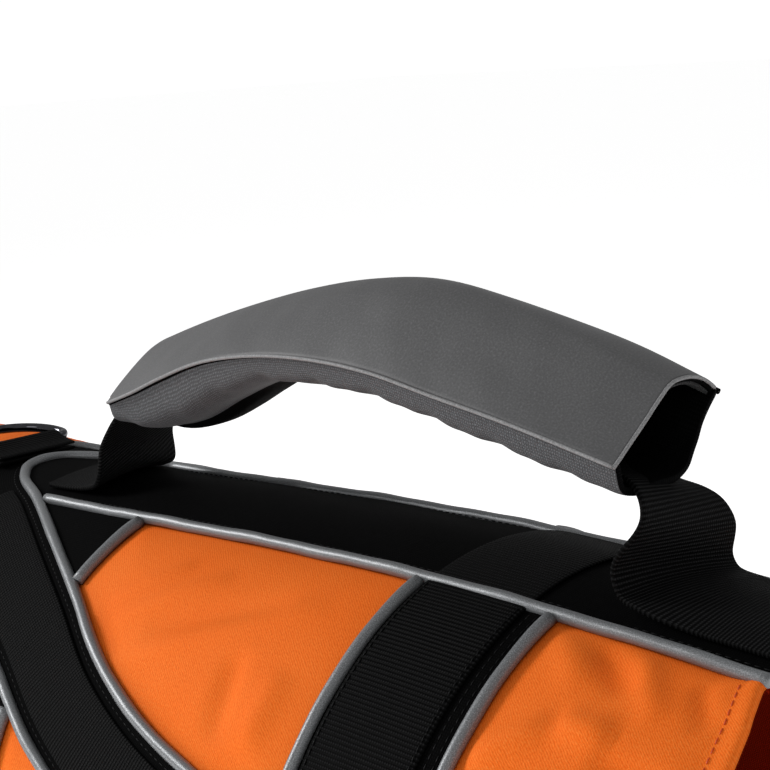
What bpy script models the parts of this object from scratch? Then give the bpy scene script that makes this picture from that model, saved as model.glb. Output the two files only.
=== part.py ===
"""Dog life jacket in its worn, filled-out form, with a carry handle and a leash ring on the back.

Frame: the origin is on the inner face of the back, under the middle of the handle, where the
wearer's back holds the jacket up. +X runs along the back to the tail, -Y is the wearer's left side
and +Z is up. Sizes below are in millimetres and become metres when a mesh is made.
"""
import functools
import math

import bpy
import numpy as np

MM = 0.001
GAP = 0.3

# The filled-out form: one ellipse for each station along the back, measured on the outer face of
# the foam-filled panels. Columns: x, top, half width, half height.
SECTIONS = (
    (-298.0, 12.5, 112.0, 84.0),
    (-245.0, 9.2, 118.0, 98.0),
    (-200.0, 8.2, 119.0, 110.0),
    (-150.0, 8.6, 117.0, 123.0),
    (-90.0, 10.4, 115.0, 130.0),
    (-20.0, 12.0, 115.0, 130.0),
    (60.0, 11.7, 115.0, 130.0),
    (120.0, 8.9, 114.0, 130.0),
    (187.0, 4.1, 111.0, 126.0),
)
FOAM = 12.0
TURNED_EDGE = 4.0

# Lower edge of a side panel, as the distance down the side from the middle of the back. It rises
# over the foreleg between -235 and -165, and over the flank behind the rear belt. Columns: x,
# distance.
PANEL_EDGE = (
    (-298.0, 150.0),
    (-285.0, 186.0),
    (-262.0, 204.0),
    (-236.0, 198.0),
    (-208.0, 182.0),
    (-182.0, 188.0),
    (-162.0, 222.0),
    (-145.0, 255.0),
    (-118.0, 264.0),
    (-90.0, 264.0),
    (-55.0, 260.0),
    (-20.0, 256.0),
    (16.0, 254.0),
    (52.0, 256.0),
    (80.0, 257.0),
    (106.0, 252.0),
    (128.0, 230.0),
    (148.0, 196.0),
    (164.0, 160.0),
    (176.0, 122.0),
    (187.0, 78.0),
)
PANEL_ROWS = (0.0, 0.09, 0.18, 0.27, 0.36, 0.45, 0.54, 0.63, 0.72, 0.81, 0.89, 0.955, 1.0)

# What lies on the panels: heights of the under and upper face above the panel.
CLOTH_LOW = 0.8
CLOTH_HIGH = 2.2
WEBBING_LOW = 2.8
WEBBING_HIGH = 4.4
PIPING_RADIUS = 2.0
PIPING_HEIGHT = 2.8
PIPING_CLEAR = 2.7
PIPING_SIDES = 6
PIPING_STEP = 17.0

SPINE_HALF = 31.0
TAIL_END = 186.0
HANDLE_STRAP_HALF = 24.0

# Each belt runs straight round the body between two lines of piping. Columns: name, x of the front
# piping, x of the rear piping.
BELTS = (("rear_belt", 52.0, 105.0), ("front_belt", -147.0, -90.0))
BELT_WEBBING_START = 3.6
BELT_WEBBING = 40.0
BELT_STEP = 12.0
FRONT_BELT_UPPER_INSET = 8.0
PANEL_EDGE_MARGIN = 1.0
# Piping ends this far short of the piping that it meets.
PIPING_BUTT = 2.0 * PIPING_RADIUS + 1.5

# Rear edge of the horseshoe yoke, from the middle of the back down one side to the rear belt.
# Columns: x, distance down the side.
YOKE_REAR_EDGE = (
    (-200.0, 0.0),
    (-197.0, 9.0),
    (-187.0, 18.0),
    (-158.0, 32.0),
    (-120.0, 52.0),
    (-84.0, 72.0),
    (-50.0, 93.0),
    (-20.0, 106.5),
    (12.0, 116.0),
    (49.0, 124.0),
)
YOKE_WIDTH = 38.0
YOKE_WEBBING = 26.0
YOKE_END = 49.2
YOKE_SPACING = 1.6
YOKE_STEPS = 17
YOKE_WEBBING_FROM = 5

# Padded sleeve of the handle: heights of its near seam and of its crest, and how far its woven
# side hangs below the seam. Columns: x, seam, crest, drop.
HANDLE = (
    (-119.0, 47.0, 67.0, 7.0),
    (-104.0, 52.0, 72.0, 11.5),
    (-86.0, 59.0, 77.5, 14.0),
    (-62.0, 67.0, 84.0, 12.0),
    (-36.0, 71.5, 90.0, 8.5),
    (-8.0, 73.0, 94.5, 8.5),
    (24.0, 71.0, 96.5, 8.5),
    (52.0, 66.0, 94.0, 9.0),
    (80.0, 61.0, 88.0, 9.5),
    (104.0, 56.0, 80.0, 9.5),
    (122.0, 52.0, 72.0, 8.5),
)
SLEEVE_WALL = 3.0
SLEEVE_SEAM_GAP = 0.4
# Section of the sleeve, from the near seam over the crest to the far seam and back underneath.
# Columns: place over the back, then the share of the crest's rise or of the woven side's drop.
SLEEVE_TOP = (
    (-23.0, 0.0),
    (-11.0, 0.5),
    (1.0, 0.88),
    (10.0, 1.0),
    (20.0, 0.9),
    (26.8, 0.66),
    (27.5, 0.0),
)
SLEEVE_UNDER = (
    (27.2, 0.0),
    (24.0, 0.9),
    (14.0, 1.25),
    (-3.0, 1.3),
    (-14.0, 1.25),
    (-19.5, 1.0),
    (-22.6, 0.05),
)

# Carry-handle webbing where it rises from the back into the sleeve, front end first. Columns: x, y
# and z of its left edge, x, y and z of its right edge, and how far its middle bows up.
STRAP_THICK = 2.0
FRONT_RISE = (
    (-134.0, -24.5, 11.8, -147.0, 24.0, 11.0, 2.6),
    (-128.0, -25.0, 14.5, -141.5, 24.0, 13.5, 1.6),
    (-126.0, -24.5, 20.0, -140.0, 23.0, 18.5, 0.6),
    (-128.0, -22.0, 26.5, -138.0, 21.0, 25.0, 0.0),
    (-128.0, -18.0, 33.0, -131.0, 17.0, 32.0, 0.0),
    (-122.5, -14.0, 41.5, -121.5, 13.0, 42.0, 0.0),
    (-111.0, -13.0, 45.5, -111.0, 13.0, 45.5, 0.0),
)
REAR_RISE = (
    (114.0, -13.0, 49.0, 114.0, 13.0, 49.0, 0.0),
    (125.0, -15.5, 45.5, 124.0, 13.0, 45.5, 0.0),
    (131.5, -20.0, 40.0, 130.0, 18.0, 38.5, 0.0),
    (131.0, -23.0, 33.5, 133.5, 23.0, 31.5, 0.0),
    (125.5, -25.0, 27.5, 132.0, 25.0, 25.0, 0.0),
    (121.0, -25.0, 21.0, 129.5, 25.5, 18.5, 0.6),
    (122.0, -25.0, 15.5, 131.0, 25.0, 13.0, 1.6),
    (131.0, -25.0, 11.0, 140.0, 24.5, 10.0, 2.6),
)
FRONT_FLAT = (-161.0, -153.0)
REAR_FLAT = (148.0, 166.0, TAIL_END)
GRIP_LEFT = -13.0
GRIP_RIGHT = 13.0
GRIP_CLEAR = 1.8

# Leash ring: a D of round wire whose straight bar lies across the back in a webbing loop.
RING_BAR_X = -217.0
RING_BAR_Z = 14.5
RING_WIRE = 2.0
RING_HALF = 25.0
RING_DEPTH = 26.0
RING_CORNER = 5.0
RING_TILT = math.radians(7.0)
TAB_HALF = 19.0
TAB_THICK = 1.2
TAB_TAIL = -203.5

# Side-release buckles under the belly and chest. Columns: name, x of the middle, width, half length.
BUCKLES = (("rear_buckle", 75.6, 48.0, 30.0), ("front_buckle", -123.4, 48.0, 30.0),
           ("chest_buckle", -260.0, 48.0, 30.0))
BUCKLE_THICK = 11.0
BUCKLE_JOIN = 8.0
BUCKLE_WEBBING_GAP = 1.5
CHEST_STRAP_THICK = 1.8
CHEST_STRAP = (-279.0, -241.0)
CHEST_STRAP_START = 168.0

# Belt and chest webbing ends beside the buckle, and starts clear of the yoke's piping.
WEBBING_END = BUCKLES[0][3] + BUCKLE_WEBBING_GAP
BELT_WEBBING_CLEAR = 1.5

SIDES = (("left", -1.0), ("right", 1.0))

# Finish: linear colour, roughness, metallic.
FINISHES = {
    "orange_polyester": ((0.91, 0.17, 0.025), 0.75, 0.0),
    "black_webbing": ((0.008, 0.008, 0.009), 0.7, 0.0),
    "black_cloth": ((0.010, 0.010, 0.011), 0.8, 0.0),
    "reflective_piping": ((0.16, 0.165, 0.17), 0.35, 0.3),
    "grey_neoprene": ((0.09, 0.09, 0.09), 0.6, 0.0),
    "grey_oxford": ((0.06, 0.06, 0.06), 0.75, 0.0),
    "black_nickel": ((0.05, 0.05, 0.055), 0.15, 1.0),
    "black_acetal": ((0.012, 0.012, 0.012), 0.4, 0.0),
}


def clear_scene():
    for old in list(bpy.data.objects):
        bpy.data.objects.remove(old)


def give_material(obj, finish):
    """Each object has a material of its own, with its finish's colour, roughness and metallic."""
    colour, roughness, metallic = FINISHES[finish]
    made = bpy.data.materials.new(obj.name + "_" + finish)
    made.use_nodes = True
    shader = made.node_tree.nodes["Principled BSDF"]
    shader.inputs["Base Color"].default_value = (*colour, 1.0)
    shader.inputs["Roughness"].default_value = roughness
    shader.inputs["Metallic"].default_value = metallic
    obj.data.materials.append(made)


def volume(points, faces):
    total = 0.0
    for face in faces:
        first = points[face[0]]
        for one, two in zip(face[1:-1], face[2:]):
            total += float(np.dot(first, np.cross(points[one], points[two])))
    return total


def add_solid(name, points, faces, finish, origin=(0.0, 0.0, 0.0)):
    """Makes the object, with its faces turned outward and its own origin."""
    points = np.asarray(points, float) - np.asarray(origin, float)
    if volume(points, faces) < 0.0:
        # The first corner stays first, so that both sides are cut along the same diagonals.
        faces = [face[:1] + face[:0:-1] for face in faces]
    mesh = bpy.data.meshes.new(name)
    mesh.from_pydata([tuple(point * MM) for point in points], [], faces)
    mesh.shade_smooth()
    mesh.set_sharp_from_angle(angle=math.radians(40.0))
    obj = bpy.data.objects.new(name, mesh)
    obj.location = [value * MM for value in origin]
    bpy.context.collection.objects.link(obj)
    give_material(obj, finish)
    return obj


def wall(name, outer, inner, finish, around=False):
    """Closes two grids of points, rows by columns, into one wall. around joins the columns' ends."""
    outer = np.asarray(outer, float)
    inner = np.asarray(inner, float)
    rows, columns = outer.shape[:2]
    points = np.concatenate([outer.reshape(-1, 3), inner.reshape(-1, 3)])
    inside = rows * columns

    def at(row, column):
        return row * columns + column % columns

    faces = []
    for row in range(rows - 1):
        for column in range(columns if around else columns - 1):
            quad = [at(row, column), at(row, column + 1), at(row + 1, column + 1), at(row + 1, column)]
            faces.append(quad)
            faces.append([inside + corner for corner in reversed(quad)])
    for column in range(columns if around else columns - 1):
        for row, turn in ((0, 1), (rows - 1, -1)):
            edge = [at(row, column + 1), at(row, column)][::turn]
            faces.append(edge + [inside + corner for corner in reversed(edge)])
    for row in range(rows - 1):
        for column, turn in ((0, 1), (columns - 1, -1)):
            if not around:
                edge = [at(row, column), at(row + 1, column)][::turn]
                faces.append(edge + [inside + corner for corner in reversed(edge)])
    return add_solid(name, points, faces, finish)


def tube(name, path, radius, sides, finish, closed=False, origin=(0.0, 0.0, 0.0)):
    """Sweeps a round section along the path, turning it as little as it can."""
    path = np.asarray(path, float)
    count = len(path)
    if closed:
        tangents = np.roll(path, -1, axis=0) - np.roll(path, 1, axis=0)
    else:
        tangents = np.gradient(path, axis=0)
    tangents /= np.linalg.norm(tangents, axis=1)[:, None]
    side = np.cross(tangents[0], (0.0, 0.0, 1.0))
    if np.linalg.norm(side) < 0.1:
        side = np.cross(tangents[0], (0.0, 1.0, 0.0))
    points = []
    for place, tangent in zip(path, tangents):
        side = side - tangent * np.dot(side, tangent)
        side /= np.linalg.norm(side)
        up = np.cross(side, tangent)
        for step in range(sides):
            angle = 2.0 * math.pi * step / sides
            points.append(place + radius * (math.cos(angle) * side + math.sin(angle) * up))
    faces = []
    for row in range(count if closed else count - 1):
        for step in range(sides):
            turn = (step + 1) % sides
            after = (row + 1) % count
            faces.append([row * sides + step, row * sides + turn, after * sides + turn, after * sides + step])
    if not closed:
        faces.append(list(range(sides))[::-1])
        faces.append([(count - 1) * sides + step for step in range(sides)])
    return add_solid(name, points, faces, finish, origin)


def smooth_column(table, column, x):
    """Reads one column of a table at x, on a smooth curve through its rows."""
    places = np.array([row[0] for row in table])
    values = np.array([row[column] for row in table])
    slopes = np.gradient(values, places)
    row = int(np.clip(np.searchsorted(places, x) - 1, 0, len(places) - 2))
    span = places[row + 1] - places[row]
    share = (x - places[row]) / span
    squared = share * share
    cubed = squared * share
    return (
        (2.0 * cubed - 3.0 * squared + 1.0) * values[row]
        + (cubed - 2.0 * squared + share) * span * slopes[row]
        + (3.0 * squared - 2.0 * cubed) * values[row + 1]
        + (cubed - squared) * span * slopes[row + 1]
    )


@functools.lru_cache(maxsize=None)
def station_sizes():
    """Top, half width and half height at each station of the side panels."""
    stations = [row[0] for row in PANEL_EDGE]
    return stations, [[smooth_column(SECTIONS, column, x) for x in stations] for column in (1, 2, 3)]


@functools.lru_cache(maxsize=None)
def section(x):
    """Top, half width and half height at x, with the distance down the side for each angle. They
    run straight from one station of the panels to the next, as the panels' own facets do."""
    stations, sizes = station_sizes()
    top, half_width, half_height = (float(np.interp(x, stations, size)) for size in sizes)
    angles = np.linspace(0.0, math.pi, 361)
    across = half_width * np.sin(angles)
    up = half_height * np.cos(angles)
    along = np.concatenate([[0.0], np.cumsum(np.hypot(np.diff(across), np.diff(up)))])
    return top, half_width, half_height, angles, along


def half_girth(x):
    return float(section(round(x, 2))[4][-1])


def on_body(x, along, height):
    """The point at x, a distance along the side from the middle of the back (the left side is
    negative), and a height out from the panels' outer face."""
    top, half_width, half_height, angles, distances = section(round(float(x), 2))
    angle = float(np.interp(abs(along), distances, angles))
    side = math.copysign(1.0, along)
    out = np.array([math.sin(angle) / half_width, math.cos(angle) / half_height])
    out /= np.linalg.norm(out)
    y = half_width * math.sin(angle) + height * out[0]
    z = top - half_height + half_height * math.cos(angle) + height * out[1]
    return np.array([x, side * y, z])


def lay(name, grid, low, high, finish):
    """Cloth over a grid of (x, along) places, between two heights above the panels."""
    outer = [[on_body(x, along, high) for x, along in row] for row in grid]
    inner = [[on_body(x, along, low) for x, along in row] for row in grid]
    return wall(name, outer, inner, finish)


def side_panels():
    """One foam-filled panel a side, 12 mm thick and thin along its turned edges."""
    for side_name, side in SIDES:
        outer = []
        inner = []
        for station, (x, low) in enumerate(PANEL_EDGE):
            edge_station = station in (0, len(PANEL_EDGE) - 1)
            outer_row = []
            inner_row = []
            for share in PANEL_ROWS:
                along = side * (0.5 * GAP + share * (low - 0.5 * GAP))
                thick = TURNED_EDGE if edge_station or share == 1.0 else FOAM
                outer_row.append(on_body(x, along, 0.0))
                inner_row.append(on_body(x, along, -thick))
            outer.append(outer_row)
            inner.append(inner_row)
        wall("side_panel_" + side_name, outer, inner, "orange_polyester")


def yoke_edge(offset, count):
    """Points of a line parallel to the yoke's rear edge, from the middle of the back down a side.
    They lie closer together in the tight bend on the back."""
    table = np.array(YOKE_REAR_EDGE)
    lengths = np.concatenate([[0.0], np.cumsum(np.linalg.norm(np.diff(table, axis=0), axis=1))])
    rows = np.column_stack([lengths, table])
    shares = np.linspace(0.0, 1.0, 8 * count + 1) ** YOKE_SPACING
    dense = []
    for place in shares * lengths[-1]:
        dense.append([smooth_column(rows, 1, place), smooth_column(rows, 2, place)])
    dense = np.array(dense)
    dense[0, 1] = 0.0
    tangents = np.gradient(dense, axis=0)
    tangents[0] = (0.0, 1.0)
    tangents /= np.linalg.norm(tangents, axis=1)[:, None]
    outward = np.column_stack([-tangents[:, 1], tangents[:, 0]])
    line = (dense + offset * outward)[::8]
    line[:, 0] = np.minimum(line[:, 0], YOKE_END)
    return line


def both_sides(line):
    """Carries a line on one side over the middle of the back to the other side."""
    left = [(x, -along) for x, along in line[::-1]]
    return left + [(x, along) for x, along in line[1:]]


def yoke_along(offset, x):
    line = yoke_edge(offset, 40)
    return float(np.interp(x, line[:, 0], line[:, 1]))


def yoke_strip(width):
    """The lines of the yoke's edges and middle, for a strip of this width along its middle."""
    start = 0.5 * (YOKE_WIDTH - width)
    return [yoke_edge(start + share * width, YOKE_STEPS) for share in (0.0, 0.5, 1.0)]


def yoke():
    """The horseshoe yoke: a strip of cloth, webbing on each arm, and piping along both edges."""
    band = [both_sides(line) for line in yoke_strip(YOKE_WIDTH - 2.0 * PIPING_CLEAR)]
    lay("yoke_band", list(zip(*band)), CLOTH_LOW, CLOTH_HIGH, "black_cloth")
    arm = [line[YOKE_WEBBING_FROM:] for line in yoke_strip(YOKE_WEBBING)]
    for side_name, side in SIDES:
        grid = [[(x, side * along) for x, along in row] for row in zip(*arm)]
        lay("yoke_webbing_" + side_name, grid, WEBBING_LOW, WEBBING_HIGH, "black_webbing")
    for name, offset in (("yoke_piping_rear", 0.0), ("yoke_piping_front", YOKE_WIDTH)):
        line = [(min(x, YOKE_END - 1.8), along) for x, along in both_sides(yoke_edge(offset, YOKE_STEPS))]
        path = [on_body(x, along, PIPING_HEIGHT) for x, along in line]
        tube(name, path, PIPING_RADIUS, PIPING_SIDES, "reflective_piping")


def spine():
    """The band along the back, rounded at its front end inside the yoke, with piping each side."""
    stations = [-196.8, -195.0, -191.0, -184.0, -172.0, -158.0]
    stations += list(np.linspace(-140.0, TAIL_END, 15))
    grid = []
    for x in stations:
        half = min(SPINE_HALF - PIPING_CLEAR, yoke_along(-PIPING_CLEAR, x))
        grid.append([(x, share * half) for share in (-1.0, -0.5, 0.0, 0.5, 1.0)])
    lay("spine_band", grid, CLOTH_LOW, CLOTH_HIGH, "black_cloth")
    for side_name, side in SIDES:
        path = [on_body(x, side * SPINE_HALF, PIPING_HEIGHT) for x in np.linspace(-148.5, TAIL_END, 18)]
        tube("spine_piping_" + side_name, path, PIPING_RADIUS, PIPING_SIDES, "reflective_piping")


def stretch(name, front, rear, begin, end, low, high, finish, cells=2):
    """Cloth running round the body between the x of its front and rear edge. begin and end give
    the distance down the side for an x, and their sign gives the side."""
    places = [float(x) for x in np.linspace(front, rear, cells + 1)]
    longest = max(abs(end(x) - begin(x)) for x in places)
    steps = max(2, int(round(longest / BELT_STEP)))
    grid = []
    for step in range(steps + 1):
        share = step / steps
        grid.append([(x, begin(x) + share * (end(x) - begin(x))) for x in places])
    lay(name, grid, low, high, finish)


def belt_piping(name, x, begin, end):
    steps = max(2, int(round(abs(end - begin) / PIPING_STEP)))
    path = [on_body(x, along, PIPING_HEIGHT) for along in np.linspace(begin, end, steps + 1)]
    tube(name, path, PIPING_RADIUS, PIPING_SIDES, "reflective_piping")


def panel_low(x):
    return float(np.interp(x, [row[0] for row in PANEL_EDGE], [row[1] for row in PANEL_EDGE]))


def belts():
    """Each belt: cloth, webbing and two lines of piping on the panel, then webbing to its buckle."""
    start = SPINE_HALF + PIPING_CLEAR
    for name, front, rear in BELTS:
        web_front = front + BELT_WEBBING_START
        web_rear = web_front + BELT_WEBBING
        for side_name, side in SIDES:
            under_yoke = name == "front_belt"
            if under_yoke:
                stretch("front_belt_upper_" + side_name, front + FRONT_BELT_UPPER_INSET, rear - PIPING_CLEAR,
                        lambda x: side * start,
                        lambda x: side * (yoke_along(-PIPING_CLEAR, x) - GAP),
                        CLOTH_LOW, CLOTH_HIGH, "black_cloth")
                belt_piping("front_belt_upper_piping_" + side_name, rear, side * (start + PIPING_RADIUS),
                            side * (yoke_along(0.0, rear) - PIPING_BUTT))

            def begin(x):
                return side * (yoke_along(YOKE_WIDTH + PIPING_CLEAR, x) + GAP if under_yoke else start)

            def end(x):
                return side * (panel_low(x) - PANEL_EDGE_MARGIN)

            stretch(name + "_band_" + side_name, front + PIPING_CLEAR, rear - PIPING_CLEAR, begin, end,
                    CLOTH_LOW, CLOTH_HIGH, "black_cloth")
            stretch(name + "_webbing_" + side_name, web_front, web_rear,
                    lambda x: begin(x) + side * (BELT_WEBBING_CLEAR if under_yoke else 0.0),
                    lambda x: side * (half_girth(x) - WEBBING_END),
                    WEBBING_LOW, WEBBING_HIGH, "black_webbing", cells=1)
            for edge_name, x in (("front", front), ("rear", rear)):
                top = yoke_along(YOKE_WIDTH, x) + PIPING_BUTT if under_yoke else start + PIPING_RADIUS
                belt_piping(name + "_piping_" + edge_name + "_" + side_name, x, side * top,
                            side * (panel_low(x) - 2.0 * PANEL_EDGE_MARGIN))
    crossing = BELTS[0][1] + BELT_WEBBING_START
    stretch("rear_belt_crossing", crossing, crossing + BELT_WEBBING,
            lambda x: -SPINE_HALF + PIPING_CLEAR, lambda x: SPINE_HALF - PIPING_CLEAR,
            WEBBING_LOW, WEBBING_HIGH, "black_webbing")


def chest_straps():
    """Webbing sewn on the lower front corner of each panel, down to the buckle under the chest."""
    front, rear = CHEST_STRAP
    for side_name, side in SIDES:
        stretch("chest_strap_" + side_name, front, rear,
                lambda x: side * CHEST_STRAP_START,
                lambda x: side * (half_girth(x) - WEBBING_END),
                CLOTH_LOW, CLOTH_LOW + CHEST_STRAP_THICK, "black_webbing")


def box_solid(name, low, high, bevel, finish):
    """A block whose edges are rounded by a live Bevel modifier."""
    low = np.asarray(low)
    high = np.asarray(high)
    corners = [(x, y, z) for x in (low[0], high[0]) for y in (low[1], high[1]) for z in (low[2], high[2])]
    faces = [[0, 1, 3, 2], [4, 6, 7, 5], [0, 4, 5, 1], [2, 3, 7, 6], [0, 2, 6, 4], [1, 5, 7, 3]]
    obj = add_solid(name, corners, faces, finish)
    rounding = obj.modifiers.new("round edges", "BEVEL")
    rounding.width = bevel * MM
    rounding.segments = 1
    return obj


def buckles():
    """The two fastened halves of each side-release buckle, face to face."""
    for name, middle, width, half_length in BUCKLES:
        centre = on_body(middle, half_girth(middle), 0.5 * (WEBBING_LOW + WEBBING_HIGH))[2] - 1.0
        low_z = centre - 0.5 * BUCKLE_THICK
        high_z = centre + 0.5 * BUCKLE_THICK
        for half_name, y_low, y_high in (
            ("socket", -half_length, BUCKLE_JOIN),
            ("prong_half", BUCKLE_JOIN + GAP, half_length),
        ):
            box_solid(name + "_" + half_name, (middle - 0.5 * width, y_low, low_z),
                      (middle + 0.5 * width, y_high, high_z), 3.0, "black_acetal")


def sleeve_section(columns, x):
    seam, crest, drop = (smooth_column(HANDLE, column, x) for column in (1, 2, 3))
    rise = crest - seam
    if columns is SLEEVE_TOP:
        return np.array([(across, seam + share * rise) for across, share in columns])
    return np.array([(across, seam - SLEEVE_SEAM_GAP - share * drop) for across, share in columns])


def inset(line, distance):
    """Moves an open line in the YZ plane sideways by a distance, mitred at its corners."""
    steps = np.diff(line, axis=0)
    steps /= np.linalg.norm(steps, axis=1)[:, None]
    normals = np.column_stack([steps[:, 1], -steps[:, 0]])
    moved = []
    for place in range(len(line)):
        before = normals[max(place - 1, 0)]
        after = normals[min(place, len(normals) - 1)]
        middle = before + after
        middle /= np.linalg.norm(middle)
        moved.append(line[place] + middle * distance / max(np.dot(middle, after), 0.4))
    return np.array(moved)


def handle_sleeve():
    """The padded sleeve: a smooth top piece and a woven underside, sewn along both sides."""
    stations = [row[0] for row in HANDLE]
    for name, columns, finish in (
        ("handle_cover_top", SLEEVE_TOP, "grey_neoprene"),
        ("handle_cover_underside", SLEEVE_UNDER, "grey_oxford"),
    ):
        outer = []
        inner = []
        for x in stations:
            line = sleeve_section(columns, x)
            moved = inset(line, SLEEVE_WALL)
            # The cut edges stand on each other, so both ends keep their own height.
            moved[0, 1] = line[0, 1]
            moved[-1, 1] = line[-1, 1]
            outer.append([(x, y, z) for y, z in line])
            inner.append([(x, y, z) for y, z in moved])
        wall(name, outer, inner, finish)


def strap_row(x_left, y_left, z_left, x_right, y_right, z_right, bow):
    row = []
    for share in (0.0, 0.25, 0.5, 0.75, 1.0):
        point = np.array([x_left, y_left, z_left]) * (1.0 - share)
        point += np.array([x_right, y_right, z_right]) * share
        point[2] += bow * 4.0 * share * (1.0 - share)
        row.append(point)
    return row


def flat_strap_row(x):
    height = WEBBING_LOW + 0.1 + 0.5 * STRAP_THICK
    shares = (-1.0, -0.5, 0.0, 0.5, 1.0)
    return [on_body(x, share * HANDLE_STRAP_HALF, height) for share in shares]


def grip_row(x):
    low = min(point[1] for point in sleeve_section(SLEEVE_UNDER, x))
    level = low + SLEEVE_WALL + 0.5 * STRAP_THICK + GRIP_CLEAR
    return strap_row(x, GRIP_LEFT, level, x, GRIP_RIGHT, level, 0.0)


def handle_webbing():
    """One length of webbing: flat on the back, up through the sleeve, and flat to the tail end."""
    rows = [flat_strap_row(x) for x in FRONT_FLAT]
    rows += [strap_row(*row) for row in FRONT_RISE]
    rows += [grip_row(row[0]) for row in HANDLE[2:-2]]
    rows += [strap_row(*row) for row in REAR_RISE]
    rows += [flat_strap_row(x) for x in REAR_FLAT]
    middle = np.array(rows)
    along = np.gradient(middle, axis=0)
    across = np.gradient(middle, axis=1)
    normal = np.cross(along, across)
    normal /= np.linalg.norm(normal, axis=2)[:, :, None]
    half = 0.5 * STRAP_THICK
    wall("handle_webbing", middle + half * normal, middle - half * normal, "black_webbing")


def leash_ring():
    """The D of wire, and the webbing loop that holds its bar to the yoke."""
    outline = []
    for step in range(5):
        outline.append((0.0, -RING_HALF + RING_CORNER + step * (RING_HALF - RING_CORNER) / 2.0))
    for step in range(1, 4):
        angle = math.radians(30.0 * step)
        outline.append((RING_CORNER * (1.0 - math.cos(angle)),
                        RING_HALF - RING_CORNER * (1.0 - math.sin(angle))))
    bow = RING_DEPTH - RING_CORNER
    for step in range(1, 12):
        angle = math.pi * step / 12.0
        outline.append((RING_CORNER + bow * math.sin(angle), RING_HALF * math.cos(angle)))
    for step in range(3, 0, -1):
        angle = math.radians(30.0 * step)
        outline.append((RING_CORNER * (1.0 - math.cos(angle)),
                        -RING_HALF + RING_CORNER * (1.0 - math.sin(angle))))
    path = []
    for reach, y in outline:
        path.append((RING_BAR_X - reach * math.cos(RING_TILT), y, RING_BAR_Z + reach * math.sin(RING_TILT)))
    tube("leash_ring", path, RING_WIRE, 6, "black_nickel", closed=True,
         origin=(RING_BAR_X, 0.0, RING_BAR_Z))

    inside = RING_WIRE + GAP + 0.2
    middle = inside + 0.5 * TAB_THICK
    line = [(TAB_TAIL, RING_BAR_Z - middle + 0.2)]
    for step in range(9):
        angle = math.radians(-90.0 - 22.5 * step)
        line.append((RING_BAR_X + middle * math.cos(angle), RING_BAR_Z + middle * math.sin(angle)))
    line.append((RING_BAR_X + 6.0, RING_BAR_Z + 0.6))
    line.append((TAB_TAIL, RING_BAR_Z - middle + TAB_THICK + GAP + 0.3))
    line = np.array(line)
    outer = inset(line, -0.5 * TAB_THICK)
    inner = inset(line, 0.5 * TAB_THICK)
    places = (-TAB_HALF, 0.0, TAB_HALF)
    wall("leash_ring_tab",
         [[(x, y, z) for y in places] for x, z in outer],
         [[(x, y, z) for y in places] for x, z in inner],
         "black_webbing")


def main():
    clear_scene()
    side_panels()
    spine()
    yoke()
    belts()
    chest_straps()
    buckles()
    handle_sleeve()
    handle_webbing()
    leash_ring()


main()
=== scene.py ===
# %% [markdown]
# # A dog life jacket
# The jacket is shown filled out, as a dog wears it, with nobody inside. It is cut from orange
# polyester over foam, and black webbing, grey piping and a padded carry handle are sewn on top.
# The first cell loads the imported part. Its nodes fix where everything goes, and each soft node is
# then replaced by a finer piece that is modelled here.

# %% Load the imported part
import math

import bpy
import numpy as np
from mathutils import Matrix, Vector


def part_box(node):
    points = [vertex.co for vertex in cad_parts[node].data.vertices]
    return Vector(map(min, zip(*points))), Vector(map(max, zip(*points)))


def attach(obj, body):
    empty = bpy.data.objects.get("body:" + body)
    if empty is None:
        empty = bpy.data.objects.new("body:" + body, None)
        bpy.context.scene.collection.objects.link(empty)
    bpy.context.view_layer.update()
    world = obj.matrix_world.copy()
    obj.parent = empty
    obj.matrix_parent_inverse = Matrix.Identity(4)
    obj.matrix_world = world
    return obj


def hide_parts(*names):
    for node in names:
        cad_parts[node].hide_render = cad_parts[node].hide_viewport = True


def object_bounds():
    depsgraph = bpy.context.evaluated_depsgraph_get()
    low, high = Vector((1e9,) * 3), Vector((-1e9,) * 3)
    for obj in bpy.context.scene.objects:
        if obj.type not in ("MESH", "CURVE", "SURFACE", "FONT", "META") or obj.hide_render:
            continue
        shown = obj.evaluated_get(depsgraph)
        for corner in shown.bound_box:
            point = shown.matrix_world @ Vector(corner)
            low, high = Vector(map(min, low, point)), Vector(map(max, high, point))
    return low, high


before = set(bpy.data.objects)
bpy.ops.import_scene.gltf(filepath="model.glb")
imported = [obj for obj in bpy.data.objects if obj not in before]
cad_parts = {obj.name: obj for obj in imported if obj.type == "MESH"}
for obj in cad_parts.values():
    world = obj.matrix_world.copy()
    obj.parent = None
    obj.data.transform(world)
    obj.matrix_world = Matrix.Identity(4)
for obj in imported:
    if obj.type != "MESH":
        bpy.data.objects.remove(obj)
cad_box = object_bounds()
MM = 0.001
for loaded in bpy.context.selected_objects:
    loaded.select_set(False)
print("nodes loaded:", len(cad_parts))

# %% [markdown]
# ## Camera
# The view is a close-up from the tail end of the left side, a little above the back. The three
# directions of the camera are written down as vectors, and a rotation is made from them.

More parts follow.
